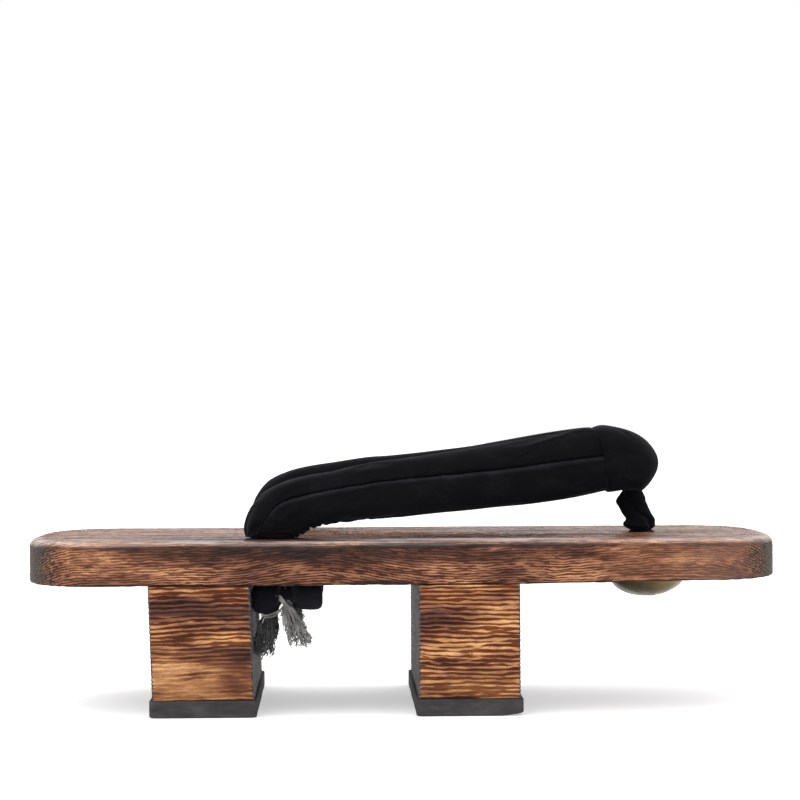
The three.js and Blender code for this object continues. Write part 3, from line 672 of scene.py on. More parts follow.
# The strap of a leg from its base to the apex: its top and its low edge, each as a share of the way
# from the rear hole to the front one and of the thong's rise; how far aside it stands, as a share
# of the rear hole's; its width; how high its seam runs; how much the seam draws it in; and how far
# it follows the far leg's lift.
leg_columns = ("top_along", "top_rise", "low_along", "low_rise", "side", "wide", "seam", "pinch", "loose")
leg_rows = [
    (-0.061, 0.02, 0.071, 0.017, 1, 0.97, 0.2, 0, 0),
    (-0.065, 0.1, 0.075, 0.029, 1, 1.04, 0.2, 0, 0.1),
    (-0.056, 0.212, 0.082, 0.04, 1, 1.06, 0.2, 0, 0.6),
    (-0.04, 0.313, 0.09, 0.057, 1, 1.06, 0.2, 0.4, 1),
    (-0.012, 0.423, 0.102, 0.083, 1, 1.05, 0.19, 0.85, 1),
    (0.033, 0.506, 0.12, 0.108, 1, 1.04, 0.165, 1, 0.95),
    (0.093, 0.555, 0.146, 0.128, 1.01, 1.02, 0.17, 1, 0.8),
    (0.166, 0.592, 0.188, 0.148, 1.01, 1, 0.185, 1, 0.8),
    (0.268, 0.667, 0.284, 0.165, 0.98, 1, 0.18, 1, 0.35),
    (0.348, 0.704, 0.359, 0.19, 0.925, 1, 0.172, 1, 0.1),
    (0.444, 0.742, 0.458, 0.222, 0.82, 0.98, 0.15, 1, 0),
    (0.599, 0.815, 0.621, 0.262, 0.62, 0.95, 0.122, 1, 0),
    (0.762, 0.911, 0.788, 0.324, 0.39, 0.9, 0.09, 1, 0),
    (0.869, 0.962, 0.902, 0.374, 0.24, 0.86, 0.065, 0.9, 0),
    (0.939, 0.98, 0.954, 0.375, 0.17, 0.8, 0.055, 0.6, 0),
    (1, 0.933, 1.002, 0.38, 0.13, 0.7, 0.05, 0.2, 0),
    (1.043, 0.78, 1.04, 0.476, 0.09, 0.5, 0.05, 0, 0),
]
# The side seam draws the strap in twice over, softly and in a narrow groove; its lower lip stands
# out a little. Each as depth and width, in millimetres; the lip also has its distance below.
seam_shape = {"soft": (0.7, 2.2), "groove": (1.0, 0.6), "lip": (0.65, 0.75, 1.2)}
# The thread puckers the velvet beside the seam: how deep, over what length and how far out.
pucker_deep = 0.1 * mm
pucker_long = 1.1 * mm
pucker_wide = 2.4 * mm
tail_columns = ("along", "top", "low", "wide")
tail_rows = [
    (0, 0.22, 0.82, 0.5), (0.025, 0.08, 1, 0.82), (0.1, 0.01, 1.09, 0.98), (0.25, 0, 1.13, 1.02),
    (0.36, 0.03, 1.04, 0.92), (0.415, 0.26, 0.76, 0.6), (0.553, 0.26, 0.76, 0.6), (0.61, 0.05, 0.92, 0.92),
    (0.78, 0, 0.97, 1.02), (0.92, 0, 0.96, 1), (0.98, 0.07, 0.88, 0.84), (1, 0.2, 0.74, 0.5),
]
# How much wider and taller the velvet is where it folds over the cord, as a share of the waist.
fold_wide = 0.7
fold_tall = 0.95
tail_length = 24.9 * mm
tail_tall = 9.6 * mm
tail_wide = 15 * mm
tail_top = underside - gap
tail_rear = rear_hole_x - rear_hole_from_tooth + gap
waist = dict(zip(tail_columns, tail_rows[5]))
waist_x = tail_rear + (waist["along"] + tail_rows[6][0]) / 2 * tail_length
waist_middle = tail_top - (waist["top"] + waist["low"]) / 2 * tail_tall
waist_tall = (waist["low"] - waist["top"]) * tail_tall
waist_wide = waist["wide"] * tail_wide
# The wrap of the front tie, which covers the apex and presses the legs in: its sizes, and a table
# with the share of its length from its rear edge, the drop of its middle as a share of its height,
# shares of its height and width, how far its top leans back, and how square its section is.
wrap_length = 21.1 * mm
wrap_tall = 25.2 * mm
wrap_wide = 31 * mm
wrap_wall = 1 * mm
wrap_ahead_of_hole = 6.4 * mm
wrap_rear = front_hole_x + wrap_ahead_of_hole - wrap_length
wrap_middle = board_top + thong_rise - wrap_tall / 2
wrap_rows = [
    (0, 0.018, 0.95, 0.97, 0.2, 3.2),
    (0.12, 0, 0.968, 0.96, 0.17, 3),
    (0.3, 0.003, 0.928, 0.89, 0.13, 2.8),
    (0.5, 0.032, 0.885, 0.8, 0.07, 2.6),
    (0.66, 0.071, 0.83, 0.7, 0.03, 2.4),
    (0.79, 0.079, 0.67, 0.58, 0, 2.2),
    (0.89, 0.073, 0.476, 0.42, 0, 2.1),
    (0.965, 0.069, 0.262, 0.24, 0, 2),
    (0.995, 0.067, 0.1, 0.09, 0, 2),
]
# Creases of a leg, each a soft trough: from and to, as share along the leg and degrees round it
# (0 is its outer side, 90 its top); how deep and how wide, in millimetres.
leg_creases = [
    {"from": (0.03, -8), "to": (0.1, -62), "deep": 0.55, "wide": 1.4},
    {"from": (0.05, 38), "to": (0.16, 4), "deep": 0.35, "wide": 1.8},
    {"from": (0.1, -106), "to": (0.13, -56), "deep": 0.8, "wide": 2.4},
    {"from": (0.262, -106), "to": (0.285, -56), "deep": 0.9, "wide": 1.6},
    {"from": (0.345, -102), "to": (0.375, -64), "deep": 0.5, "wide": 1.2},
    {"from": (0.22, 118), "to": (0.34, 96), "deep": 0.3, "wide": 2.2},
    {"from": (0.42, -102), "to": (0.45, -70), "deep": 0.4, "wide": 1},
    {"from": (0.5, -94), "to": (0.55, -68), "deep": 0.25, "wide": 1.8},
    {"from": (0.66, -98), "to": (0.71, -72), "deep": 0.25, "wide": 1.8},
    {"from": (0.5, 100), "to": (0.62, 80), "deep": 0.2, "wide": 2.6},
    {"from": (0.78, -90), "to": (0.83, -64), "deep": 0.25, "wide": 1.6},
]


# Smooth line through rows of values, one row for each share along, with its direction.
def flowing(rows, shares):
    rows = np.asarray(rows, float)
    padded = np.concatenate([[2 * rows[0] - rows[1]], rows, [2 * rows[-1] - rows[-2]]])
    spot = np.clip(np.asarray(shares), 0, 1) * (len(rows) - 1)
    start = np.minimum(spot.astype(int), len(rows) - 2)
    t = (spot - start)[:, None]
    a, b, c, d = (padded[start + k] for k in range(4))
    square, cube = 2 * a - 5 * b + 4 * c - d, 3 * b - a - 3 * c + d
    value = 0.5 * (2 * b + (c - a) * t + square * t ** 2 + cube * t ** 3)
    slope = 0.5 * (c - a + 2 * square * t + 3 * cube * t ** 2)
    return value, slope


# Rounded section, a circle at power 2 and squarer above it.
def squarish(angle, power):
    def bend(value):
        return np.sign(value) * np.abs(value) ** (2 / power)
    return bend(np.cos(angle)), bend(np.sin(angle))


def unit(vector):
    return vector / np.linalg.norm(vector, axis=-1, keepdims=True)


# Cloth under pressure, held where it is sewn, tied or glued. It keeps its size on the whole: the
# mean swelling is taken out, and no point moves further than the cap.
def puffed(piece, held, pressure, growth, cap, frames=14):
    rest = np.array([v.co for v in piece.data.vertices])
    group = piece.vertex_groups.new(name="held")
    group.add([int(i) for i in held], 1.0, "REPLACE")
    modifier = piece.modifiers.new("velvet", "CLOTH")
    cloth = modifier.settings
    cloth.quality = 6
    cloth.mass = 1e-5
    cloth.tension_stiffness = cloth.compression_stiffness = 4
    cloth.shear_stiffness = 2
    cloth.bending_stiffness = 1e-6
    cloth.shrink_min = -growth
    cloth.vertex_group_mass = group.name
    cloth.use_pressure = True
    cloth.uniform_pressure_force = pressure
    cloth.effector_weights.gravity = 0
    modifier.collision_settings.use_collision = False
    modifier.point_cache.frame_end = frames
    scene = bpy.context.scene
    for frame_number in range(1, frames + 1):
        scene.frame_set(frame_number)
    evaluated = piece.evaluated_get(bpy.context.evaluated_depsgraph_get())
    moved = np.array([v.co for v in evaluated.data.vertices])
    scene.frame_set(1)
    piece.modifiers.remove(modifier)
    piece.vertex_groups.remove(group)
    normals = np.array([v.normal for v in piece.data.vertices])
    step = moved - rest
    loose = np.setdiff1d(np.arange(len(rest)), held)
    step[loose] -= normals[loose] * (step[loose] * normals[loose]).sum(axis=1).mean()
    size = np.linalg.norm(step, axis=1, keepdims=True)
    print(piece.name, "moved by cloth, mm: mean", size.mean() / mm, "most", size.max() / mm)
    step *= np.minimum(1, cap / np.maximum(size, 1e-9))
    piece.data.vertices.foreach_set("co", (rest + step).ravel())
    piece.data.update()


# Depth of a table of creases at places given as share along and degrees round.
def crease_depth(rows, share, degrees, length, girth):
    total = np.zeros(np.broadcast(share, degrees).shape)
    for row in rows:
        (s0, a0), (s1, a1) = row["from"], row["to"]
        start = np.array([s0 * length, a0 / 360 * girth])
        along = np.array([s1 * length, a1 / 360 * girth]) - start
        x = share * length - start[0]
        y = degrees / 360 * girth - start[1]
        t = np.clip((x * along[0] + y * along[1]) / (along @ along), 0, 1)
        away = np.hypot(x - t * along[0], y - t * along[1]) / (row["wide"] * mm)
        ends = np.sqrt(np.clip(np.sin(math.pi * np.clip(t, 0.02, 0.98)), 0, 1))
        trough = np.exp(-away ** 2) - 0.45 * np.exp(-((away - 1.9) / 0.8) ** 2)
        total = total + row["deep"] * mm * ends * trough
    return total


# Thickness of the wrap's wall, thin at its hem.
def wall_at(along):
    return wrap_wall * np.interp(along, (0, 0.2), (0.3, 1))


# Points ahead of the wrap's rear edge drawn in until they lie inside its wall.
def pressed_in(points):
    table = np.array(wrap_rows)
    x, y, z = points.T
    along = (x - wrap_rear) / wrap_length
    lean = np.interp(along, table[:, 0], table[:, 4])
    along = (x + lean * (z - wrap_middle) - wrap_rear) / wrap_length
    drop, tall, wide, lean, power = (np.interp(along, table[:, 0], table[:, k]) for k in range(1, 6))
    room = wall_at(along) + gap * np.interp(along, (0, 0.2), (0.3, 1))
    half_tall = np.maximum(tall * wrap_tall / 2 - room, 0.1 * mm)
    half_wide = np.maximum(wide * wrap_wide / 2 - room, 0.1 * mm)
    middle = wrap_middle - drop * wrap_tall
    reach = (np.abs(y / half_wide) ** power + np.abs((z - middle) / half_tall) ** power) ** (1 / power)
    inward = 1 / (1 + (np.maximum(reach, 1) - 1) * np.clip(1 + along / 0.04, 0, 1))
    return np.column_stack([x, y * inward, middle + (z - middle) * inward])


# A leg of the thong: its neck up through the rear hole, its base on the board and its strap to the
# apex, with the seam and the creases pressed in and the far end drawn inside the wrap.
def leg_mesh(hand, name, material):
    span = front_hole_x - rear_hole_x
    columns = dict(zip(leg_columns, np.array(leg_rows, float).T))
    lifted = far_elbow_lift if hand > 0 else 0
    top_rows = np.column_stack([
        rear_hole_x + columns["top_along"] * span, hand * columns["side"] * rear_hole_side,
        board_top + columns["top_rise"] * thong_rise + columns["loose"] * lifted])
    low_rows = np.column_stack([
        rear_hole_x + columns["low_along"] * span, hand * columns["side"] * rear_hole_side,
        board_top + columns["low_rise"] * thong_rise])
    stations, sides = 190, 96
    shares = np.linspace(0, leg_end, stations)
    top, top_slope = flowing(top_rows, shares)
    low, low_slope = flowing(low_rows, shares)
    size_rows = np.column_stack([columns["wide"] * strap_wide, columns["seam"], columns["pinch"]])
    size, _ = flowing(size_rows, shares)
    up = unit(top - low)
    out = unit(np.cross(up, top_slope + low_slope) * hand)
    tall = np.linalg.norm(top - low, axis=1)
    turn = np.linspace(0, 2 * math.pi, sides, endpoint=False)
    angle = turn - 0.55 * np.sin(turn - seam_turn)
    degrees = (np.degrees(angle) + 180) % 360 - 180
    across, above = squarish(angle, strap_squareness)
    neck = hole_radius["rear"] - gap
    foot = board_top + gap
    rings = []
    for z in (waist_middle, underside, foot - 0.2 * mm):
        aside = rear_hole_side + neck * np.cos(angle)
        rings.append(np.column_stack([rear_hole_x - neck * np.sin(angle), hand * aside, np.full(sides, z)]))
    base_out, base_up = np.array([0, hand, 0]), unit((top[0] - low[0]) * (1, 1, 0))
    for shrink, z in ((0.55, foot), (0.86, foot), (0.97, foot + 0.25 * mm)):
        centre = (top[0] + low[0]) / 2 * (1, 1, 0) + np.array([0, 0, z])
        rings.append(centre + shrink * (base_up * (tall[0] / 2 * above)[:, None]
                                        + base_out * (size[0, 0] / 2 * across)[:, None]))
    necks = len(rings)
    for i in range(stations):
        centre = (top[i] + low[i]) / 2
        rings.append(centre + up[i] * (tall[i] / 2 * above)[:, None]
                     + out[i] * (size[i, 0] / 2 * across)[:, None])
    leg = skin(name, rings, material)
    index = np.arange(len(rings) * sides).reshape(len(rings), sides)
    seam_side = [int(np.argmin(np.abs(above / 2 - size[i, 1]) + 9 * (across < 0))) for i in range(stations)]
    held = set(index[:necks].ravel()) | set(index[-1])
    held |= {index[necks + i, seam_side[i]] for i in range(stations)}
    puffed(leg, sorted(held), 3.0, 0.012, puff_room)
    points = np.array([v.co for v in leg.data.vertices])
    grid = points[index[necks:]]
    share_grid = shares[:, None]
    length = np.linalg.norm(np.diff((top + low) / 2, axis=0), axis=1).sum()
    outward = up[:, None] * above[None, :, None] / tall[:, None, None] + out[:, None] * (
        across[None, :, None] / size[:, 0][:, None, None])
    outward = unit(outward)
    seam_at = size[:, 1][:, None]
    from_seam = (above[None] / 2 - seam_at) * tall[:, None]
    outer = (across[None] > 0) * np.clip(size[:, 2], 0, 1)[:, None]
    (soft, soft_wide), (groove, groove_wide), (lip, lip_wide, lip_below) = seam_shape.values()
    seam = (soft * np.exp(-(from_seam / (soft_wide * mm)) ** 2)
            + groove * np.exp(-(from_seam / (groove_wide * mm)) ** 2)
            - lip * np.exp(-((from_seam + lip_below * mm) / (lip_wide * mm)) ** 2)) * mm
    pull = pucker_deep * np.sin(share_grid * length / pucker_long) * np.exp(-(from_seam / pucker_wide) ** 2)
    folds = crease_depth(leg_creases, share_grid, degrees[None], length, leg_girth)
    grid = grid - outward * ((seam + pull) * outer + folds)[:, :, None]
    # Painted light on the velvet: a painted highlight on the seam's lower lip and along the crest, and
    # painted shade in the groove above the lip.
    painted_velvet_light = outer * (seam_lip_highlight * np.exp(-((from_seam + lip_below * mm) / (lip_wide * mm)) ** 2)
                      - 0.6 * np.exp(-(from_seam / (groove_wide * mm)) ** 2))
    crest = np.exp(-((degrees[None] - crest_at) / crest_wide) ** 2)
    crest = crest * np.clip((0.5 - share_grid) / 0.3, 0, 1)
    painted_velvet_light = painted_velvet_light + crest_highlight * crest
    worn = leg.data.attributes.new("painted_velvet_light", "FLOAT", "POINT")
    shown = np.zeros(len(leg.data.vertices))
    shown[index[necks:]] = painted_velvet_light
    worn.data.foreach_set("value", shown)
    points[index[necks:]] = pressed_in(grid.reshape(-1, 3)).reshape(grid.shape)
    leg.data.vertices.foreach_set("co", points.ravel())
    leg.data.update()
    return leg


# A leg's tail under the board, gathered and folded where the cord is wound on it.
def tail_mesh(hand, name, material):
    sides = 56
    rows, _ = flowing(tail_rows, np.linspace(0, 1, 70))
    angle = np.linspace(0, 2 * math.pi, sides, endpoint=False)
    across, above = squarish(angle, 2.7)
    middle_of_waist = (waist["along"] + tail_rows[6][0]) / 2
    rings = []
    for along, top, low, wide in rows:
        at_waist = np.exp(-((along - middle_of_waist) / 0.13) ** 4)
        gather = 1 + 0.04 * np.sin(7 * angle + 1.5 * hand) * at_waist
        folded = at_waist * np.clip((above + 0.42) / 0.3, 0, 1)
        pad = 1 + 0.012 * np.sin(3 * angle + 14 * along)
        rings.append(np.column_stack([
            np.full(sides, tail_rear + along * tail_length),
            hand * rear_hole_side + wide * tail_wide / 2 * across * (gather + fold_wide * folded) * pad,
            tail_top - tail_tall * ((top + low) / 2 - (low - top) / 2 * above * (
                gather + fold_tall * folded * np.clip(above, 0, 1)) * np.minimum(pad, 1))]))
    return skin(name, rings, material)


# Velvet: near black pile that turns grey only where it is seen edge on, brushed in patches, and
# painted lighter under the board, as painted light where the board shades it.
def velvet_finish(name):
    material, tree, shader = finish(
        name, Roughness=0.95, Specular_IOR_Level=0.05, Sheen_Weight=0.07, Sheen_Roughness=0.4,
        Sheen_Tint=(0.75, 0.78, 0.85, 1))
    place = add(tree, "ShaderNodeTexCoord").outputs["Object"]
    spot = stretched(tree, place, 1 / mm, 1 / mm, 1 / mm)
    brushed = noise(tree, stretched(tree, spot, 0.09, 0.12, 0.16), detail=4, rough=0.55, twist=0.4)
    pile = noise(tree, stretched(tree, spot, 3.4, 3.4, 3.4), detail=2, rough=0.7)
    tone = reckon(tree, "MULTIPLY_ADD", pile, 0.35, reckon(tree, "MULTIPLY", brushed, 0.65))
    colour = ramp(tree, tone, [(0.3, (9, 9, 12)), (0.52, (14, 14, 17)), (0.75, (23, 23, 27))])
    low = add(tree, "ShaderNodeSeparateXYZ", {0: spot}).outputs[2]
    # Under the board the velvet is painted lighter, as painted light.
    painted_light_under_board = fade(tree, low, underside / mm + 2, underside / mm - 1, 1.0, 2.6)
    painted_velvet_light = add(tree, "ShaderNodeAttribute", {}, attribute_name="painted_velvet_light").outputs["Fac"]
    light = reckon(tree, "MULTIPLY", painted_light_under_board, reckon(tree, "ADD", painted_velvet_light, 1.0))
    colour = add(tree, "ShaderNodeVectorMath", {0: colour, "Scale": light}, operation="SCALE").outputs[0]
    tree.links.new(colour, shader.inputs["Base Color"])
    soft = noise(tree, stretched(tree, spot, 0.3, 0.3, 0.4), detail=3)
    height = reckon(tree, "MULTIPLY_ADD", pile, 0.22, soft)
    bump = add(tree, "ShaderNodeBump", {"Strength": 0.5, "Distance": 0.5 * mm, "Height": height})
    tree.links.new(bump.outputs[0], shader.inputs["Normal"])
    return material


# Joins several objects into the first one.
def joined(pieces, name):
    with bpy.context.temp_override(
            active_object=pieces[0], selected_editable_objects=pieces, object=pieces[0]):
        bpy.ops.object.join()
    pieces[0].name = pieces[0].data.name = name
    return pieces[0]


velvet = velvet_finish("velvet")
thong_parts = [leg_mesh(hand, "leg", velvet) for hand in (-1, 1)]
thong_parts += [tail_mesh(hand, "tail", velvet) for hand in (-1, 1)]
thong = joined(thong_parts, "thong_velvet")
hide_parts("thong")
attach(thong, "root")

# Front tie: a band of the same velvet folded over the apex, its two ends twisted into a stem
# that goes down through the front hole and is knotted inside the cap.
stem_across = 9.4 * mm
stem_lobes = 0.16
stem_into_wrap = 1.4 * mm
knot_radius = 8 * mm
knot_height = 5.6 * mm
wrap_girth = 88 * mm
# Rows of the stem: share of its height, how far it stands back and its size, as shares of its
# width, and how far it is twisted, in degrees.
stem_rows = [
    (0.02, 0.02, 0.87, 240), (0.095, 0.06, 1.24, 235), (0.18, 0.09, 1.23, 225), (0.29, 0.04, 1.06, 215),
    (0.43, 0.19, 1, 190), (0.575, 0.32, 1, 180), (0.7, 0.39, 1.04, 150), (0.825, 0.37, 1.02, 120),
    (1, 0.33, 0.82, 90),
]
# Creases of the wrap, in the same form: share from its rear edge to its nose, degrees round it
# (0 is the far side, 90 its top, 180 the near side).
wrap_creases = [
    {"from": (0.3, 112), "to": (0.5, 134), "deep": 0.35, "wide": 1},
    {"from": (-0.15, 175), "to": (0.95, 166), "deep": 0.5, "wide": 0.8},
    {"from": (0.3, 68), "to": (0.5, 46), "deep": 0.35, "wide": 1},
    {"from": (-0.15, 5), "to": (0.95, 14), "deep": 0.5, "wide": 0.8},
    {"from": (0.25, 214), "to": (0.55, 232), "deep": 0.4, "wide": 1.3},
    {"from": (0.25, 326), "to": (0.55, 308), "deep": 0.4, "wide": 1.3},
    {"from": (0.02, 238), "to": (0.4, 250), "deep": -0.45, "wide": 1.5},
    {"from": (0.02, 302), "to": (0.4, 290), "deep": -0.45, "wide": 1.5},
]


# The wrap: an open sleeve with a rounded hem at its rear edge, closed at its nose.
def wrap_mesh(name, material):
    sides = 96
    angle = np.linspace(0, 2 * math.pi, sides, endpoint=False)
    degrees = np.degrees(angle)
    steps = 46
    rows, _ = flowing(wrap_rows, np.linspace(0, 1, steps))

    def ring(row, inset, back=0.0, crease=True):
        along, drop, tall, wide, lean, power = row
        across, above = squarish(angle, power)
        half_tall = max(tall * wrap_tall / 2 - inset, 0.2 * mm)
        half_wide = max(wide * wrap_wide / 2 - inset, 0.2 * mm)
        if crease:
            fold = crease_depth(wrap_creases, np.full(sides, along), degrees, wrap_length, wrap_girth)
            fold = fold * np.clip((0.8 - along) / 0.3, 0, 1)
            half_tall, half_wide = half_tall - fold, half_wide - fold
        up = half_tall * above
        x = wrap_rear + along * (wrap_length - inset) - back - lean * up
        return np.column_stack([x, half_wide * across, wrap_middle - drop * wrap_tall + up])

    outer = [ring(row, 0) for row in rows]
    inner = [ring(row, wall_at(row[0]), crease=False) for row in rows[:-2]]
    hem_wall = wall_at(0)
    hem = [ring(rows[0], hem_wall / 2 * (1 - math.cos(a)), hem_wall / 2 * math.sin(a))
           for a in np.linspace(0, math.pi, 7)[1:-1]]
    return skin(name, inner[::-1] + hem[::-1] + outer, material)


# The stem: two twisted bands from the hole up into the wrap, with fine wrinkles.
def stem_mesh(name, material):
    sides = 72
    angle = np.linspace(0, 2 * math.pi, sides, endpoint=False)
    rise = wrap_middle - wrap_tall / 2 + stem_into_wrap - board_top
    in_hole = hole_radius["front"] - gap
    rows, _ = flowing(stem_rows, np.linspace(0, 1, 60))
    rings = [
        np.column_stack([front_hole_x + in_hole * np.cos(angle), in_hole * np.sin(angle), np.full(sides, z)])
        for z in (underside - knot_height / 2, board_top)]
    for up, back, size, turn in rows:
        twist = angle - math.radians(turn)
        groove = np.exp(-(np.cos(twist) / 0.3) ** 2)
        reach = size * stem_across / 2 * (1 + stem_lobes * np.cos(2 * twist) - 0.13 * groove)
        wrinkle = 1 + 0.025 * np.sin(5 * twist + 9 * up) * math.sin(math.pi * up)
        rings.append(np.column_stack([
            front_hole_x - back * stem_across + reach * wrinkle * np.cos(angle),
            reach * wrinkle * np.sin(angle),
            np.full(sides, board_top + gap + up * (rise - gap))]))
    return skin(name, rings, material)


def knot_mesh(name, material):
    sides = 40
    turn = np.linspace(0.02, math.pi - 0.02, 18)
    angle = np.linspace(0, 2 * math.pi, sides, endpoint=False)
    middle = underside + toe_relief * 0.5 - 2 * gap - knot_height / 2
    return skin(name, [np.column_stack([
        front_hole_x + knot_radius * math.sin(t) * np.cos(angle), knot_radius * math.sin(t) * np.sin(angle),
        np.full(sides, middle + knot_height / 2 * math.cos(t))]) for t in turn], material)


front_tie = joined([wrap_mesh("wrap", velvet), stem_mesh("stem", velvet), knot_mesh("knot", velvet)],
                   "front_tie_velvet")
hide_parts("front_tie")
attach(front_tie, "root")

# Cap: a thin dome of old brass pressed over the knot, its edge against the board, a little
# dented and nicked by walking.
cap_wall = 0.8 * mm
cap_depth = 8.2 * mm
nick_depth = 0.4 * mm
nick_wide = 0.5 * mm
nick_tall = 0.6 * mm
# Where the nicks are: radians round the cap, and share of the way from its lowest point to its rim.
nicks = [(-1.62, 0.34), (-1.28, 0.3), (-2.3, 0.75)]


# The cap from its inner wall out over its rim, leaning with the underside of the board.
def cap_mesh(name, material):
    low_corner, high_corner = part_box("front_cap")
    radius = (high_corner.y - low_corner.y) / 2
    middle_x = (high_corner.x + low_corner.x) / 2
    tilt = math.atan2(toe_relief, board_high.x - front_tooth_face)
    rim = low_corner.z + cap_depth
    angle = np.linspace(0, 2 * math.pi, 96, endpoint=False)
    rings = []
    for inset, steps in ((cap_wall, np.linspace(0.06, 1, 20)), (0.0, np.linspace(1, 0.02, 34))):
        for step in steps:
            turn = math.pi / 2 * step
            reach = (radius - inset) * math.sin(turn)
            sink = (cap_depth - inset) * math.cos(turn)
            dent = 0.14 * mm * np.sin(3 * angle + 2) * np.sin(math.pi * step) + 0.06 * mm * np.sin(
                8 * angle + 9 * step)
            nick = 0.0
            for nick_angle, nick_step in nicks:
                turned = (angle - nick_angle - math.pi) % (2 * math.pi) - math.pi
                beside = turned * reach / nick_wide
                over = (step - nick_step) * radius * 1.5 / nick_tall
                nick = nick + nick_depth * np.exp(-beside ** 2 - over ** 2)
            if inset:
                dent, nick = 0, 0
            x, y = reach * np.cos(angle), reach * np.sin(angle)
            z = -sink + dent + nick
            rings.append(np.column_stack([
                middle_x + x * math.cos(tilt) - z * math.sin(tilt), y,
                rim + x * math.sin(tilt) + z * math.cos(tilt)]))
    return skin(name, rings, material)


def brass_finish(name):
    material, tree, shader = finish(name, Metallic=1.0)
    place = add(tree, "ShaderNodeTexCoord").outputs["Object"]
    spot = stretched(tree, place, 1 / mm, 1 / mm, 1 / mm)
    cloud = noise(tree, stretched(tree, spot, 0.14, 0.14, 0.3), detail=4, rough=0.6)
    scratch = noise(tree, stretched(tree, spot, 0.5, 2.2, 3.0), detail=3, rough=0.7)
    axes = add(tree, "ShaderNodeSeparateXYZ", {0: spot}).outputs
    # The brass is painted lighter toward the toe, so the heel side stays dark, as a painted reflection.
    toward_toe = fade(tree, axes[0], 78.0, 101.0)
    tone = reckon(tree, "MULTIPLY_ADD", cloud, 0.5, reckon(tree, "MULTIPLY", toward_toe, 0.6))
    tone = reckon(tree, "MULTIPLY_ADD", scratch, 0.16, tone)
    colour = ramp(tree, tone, [
        (0.2, (52, 52, 43)), (0.45, (74, 66, 48)), (0.65, (94, 80, 58)), (0.85, (114, 99, 70))])
    tree.links.new(colour, shader.inputs["Base Color"])
    tree.links.new(fade(tree, scratch, 0.3, 0.7, 0.26, 0.46), shader.inputs["Roughness"])
    bump = add(tree, "ShaderNodeBump", {"Strength": 0.25, "Distance": 0.1 * mm, "Height": scratch})
    tree.links.new(bump.outputs[0], shader.inputs["Normal"])
    return material


cap = cap_mesh("cap_dome", brass_finish("cap_brass"))
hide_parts("front_cap")
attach(cap, "root")

# Tie cords: grey two-strand cotton cord, wound twice round each tail and pulled tight, lying a
# little askew as it was tied by hand.
cord_diameter = 2 * mm
cord_slant = 1.3 * mm
cord_pitch = 4.6 * mm
cord_squareness = 2.3
cord_turn_shift = 0.4
# Each strand's distance from the cord's middle and its radius, as shares of the cord's diameter.
strand_reach = 0.24
strand_radius = 0.27


def cotton_finish(name, dark, middle, light):
    material, tree, shader = finish(
        name, Roughness=0.92, Specular_IOR_Level=0.2, Sheen_Weight=0.2, Sheen_Roughness=0.5)
    place = add(tree, "ShaderNodeTexCoord").outputs["Object"]
    spot = stretched(tree, place, 1 / mm, 1 / mm, 1 / mm)
    lint = noise(tree, stretched(tree, spot, 2.6, 2.6, 1.4), detail=3, rough=0.7)
    worn = noise(tree, stretched(tree, spot, 0.35, 0.35, 0.25), detail=2)
    tone = reckon(tree, "MULTIPLY_ADD", lint, 0.5, reckon(tree, "MULTIPLY", worn, 0.5))
    tree.links.new(ramp(tree, tone, [(0.32, dark), (0.5, middle), (0.7, light)]), shader.inputs["Base Color"])
    bump = add(tree, "ShaderNodeBump", {"Strength": 0.6, "Distance": 0.2 * mm, "Height": lint})
    tree.links.new(bump.outputs[0], shader.inputs["Normal"])
    return material


# Two strands twisted round one closed line.
def twisted_loop(name, line, material):
    line = np.asarray(line, float)
    length = np.linalg.norm(np.roll(line, -1, axis=0) - line, axis=1)
    travelled = np.concatenate([[0], np.cumsum(length)[:-1]])
    turns = max(1, round(length.sum() / cord_pitch))
    twist = travelled / length.sum() * turns * 2 * math.pi
    ahead_here = unit(np.roll(line, -1, axis=0) - np.roll(line, 1, axis=0))
    outward = line - line.mean(0)
    side = unit(np.cross(ahead_here, outward))
    up = np.cross(side, ahead_here)
    strands = []
    around = np.linspace(0, 2 * math.pi, 8, endpoint=False)
    for phase in (0, math.pi):
        offset = side * np.cos(twist + phase)[:, None] + up * np.sin(twist + phase)[:, None]
        centre = line + offset * cord_diameter * strand_reach
        section = [np.outer(np.cos(around), s) + np.outer(np.sin(around), u) for s, u in zip(side, up)]
        rings = [middle + cord_diameter * strand_radius * ring for middle, ring in zip(centre, section)]
        strands.append(skin(name, rings, material, closed=True))
    return strands


cotton = cotton_finish("cotton_cord", (70, 70, 71), (104, 104, 105), (150, 150, 151))
for which, hand in (("near", -1), ("far", 1)):
    clear = cord_diameter / 2 + gap
    angle = np.linspace(0, 2 * math.pi, 150, endpoint=False)
    across, above = squarish(angle, cord_squareness)
    strands = []
    for shift in (-cord_turn_shift, cord_turn_shift):
        line = np.column_stack([
            waist_x + shift * cord_diameter - cord_slant * np.sin(angle) * (1 + 0.2 * shift),
            hand * rear_hole_side + (waist_wide / 2 + clear) * across,
            waist_middle + (waist_tall / 2 + clear) * above])
        strands += twisted_loop("strand", line, cotton)
    tie = joined(strands, f"tie_cord_twist_{which}")
    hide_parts(f"tie_cord_{which}")
    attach(tie, "root")

# Tassels: the cut ends of the cords, frayed into single threads of crinkled cotton. Each hangs
# from its cord, one beside the tail and one under it, that one painted darker as painted shade.
thread_radius = 0.15 * mm
thread_count = 105
rear_tassel_behind = 7 * mm
front_tassel_rise = 1.1 * mm


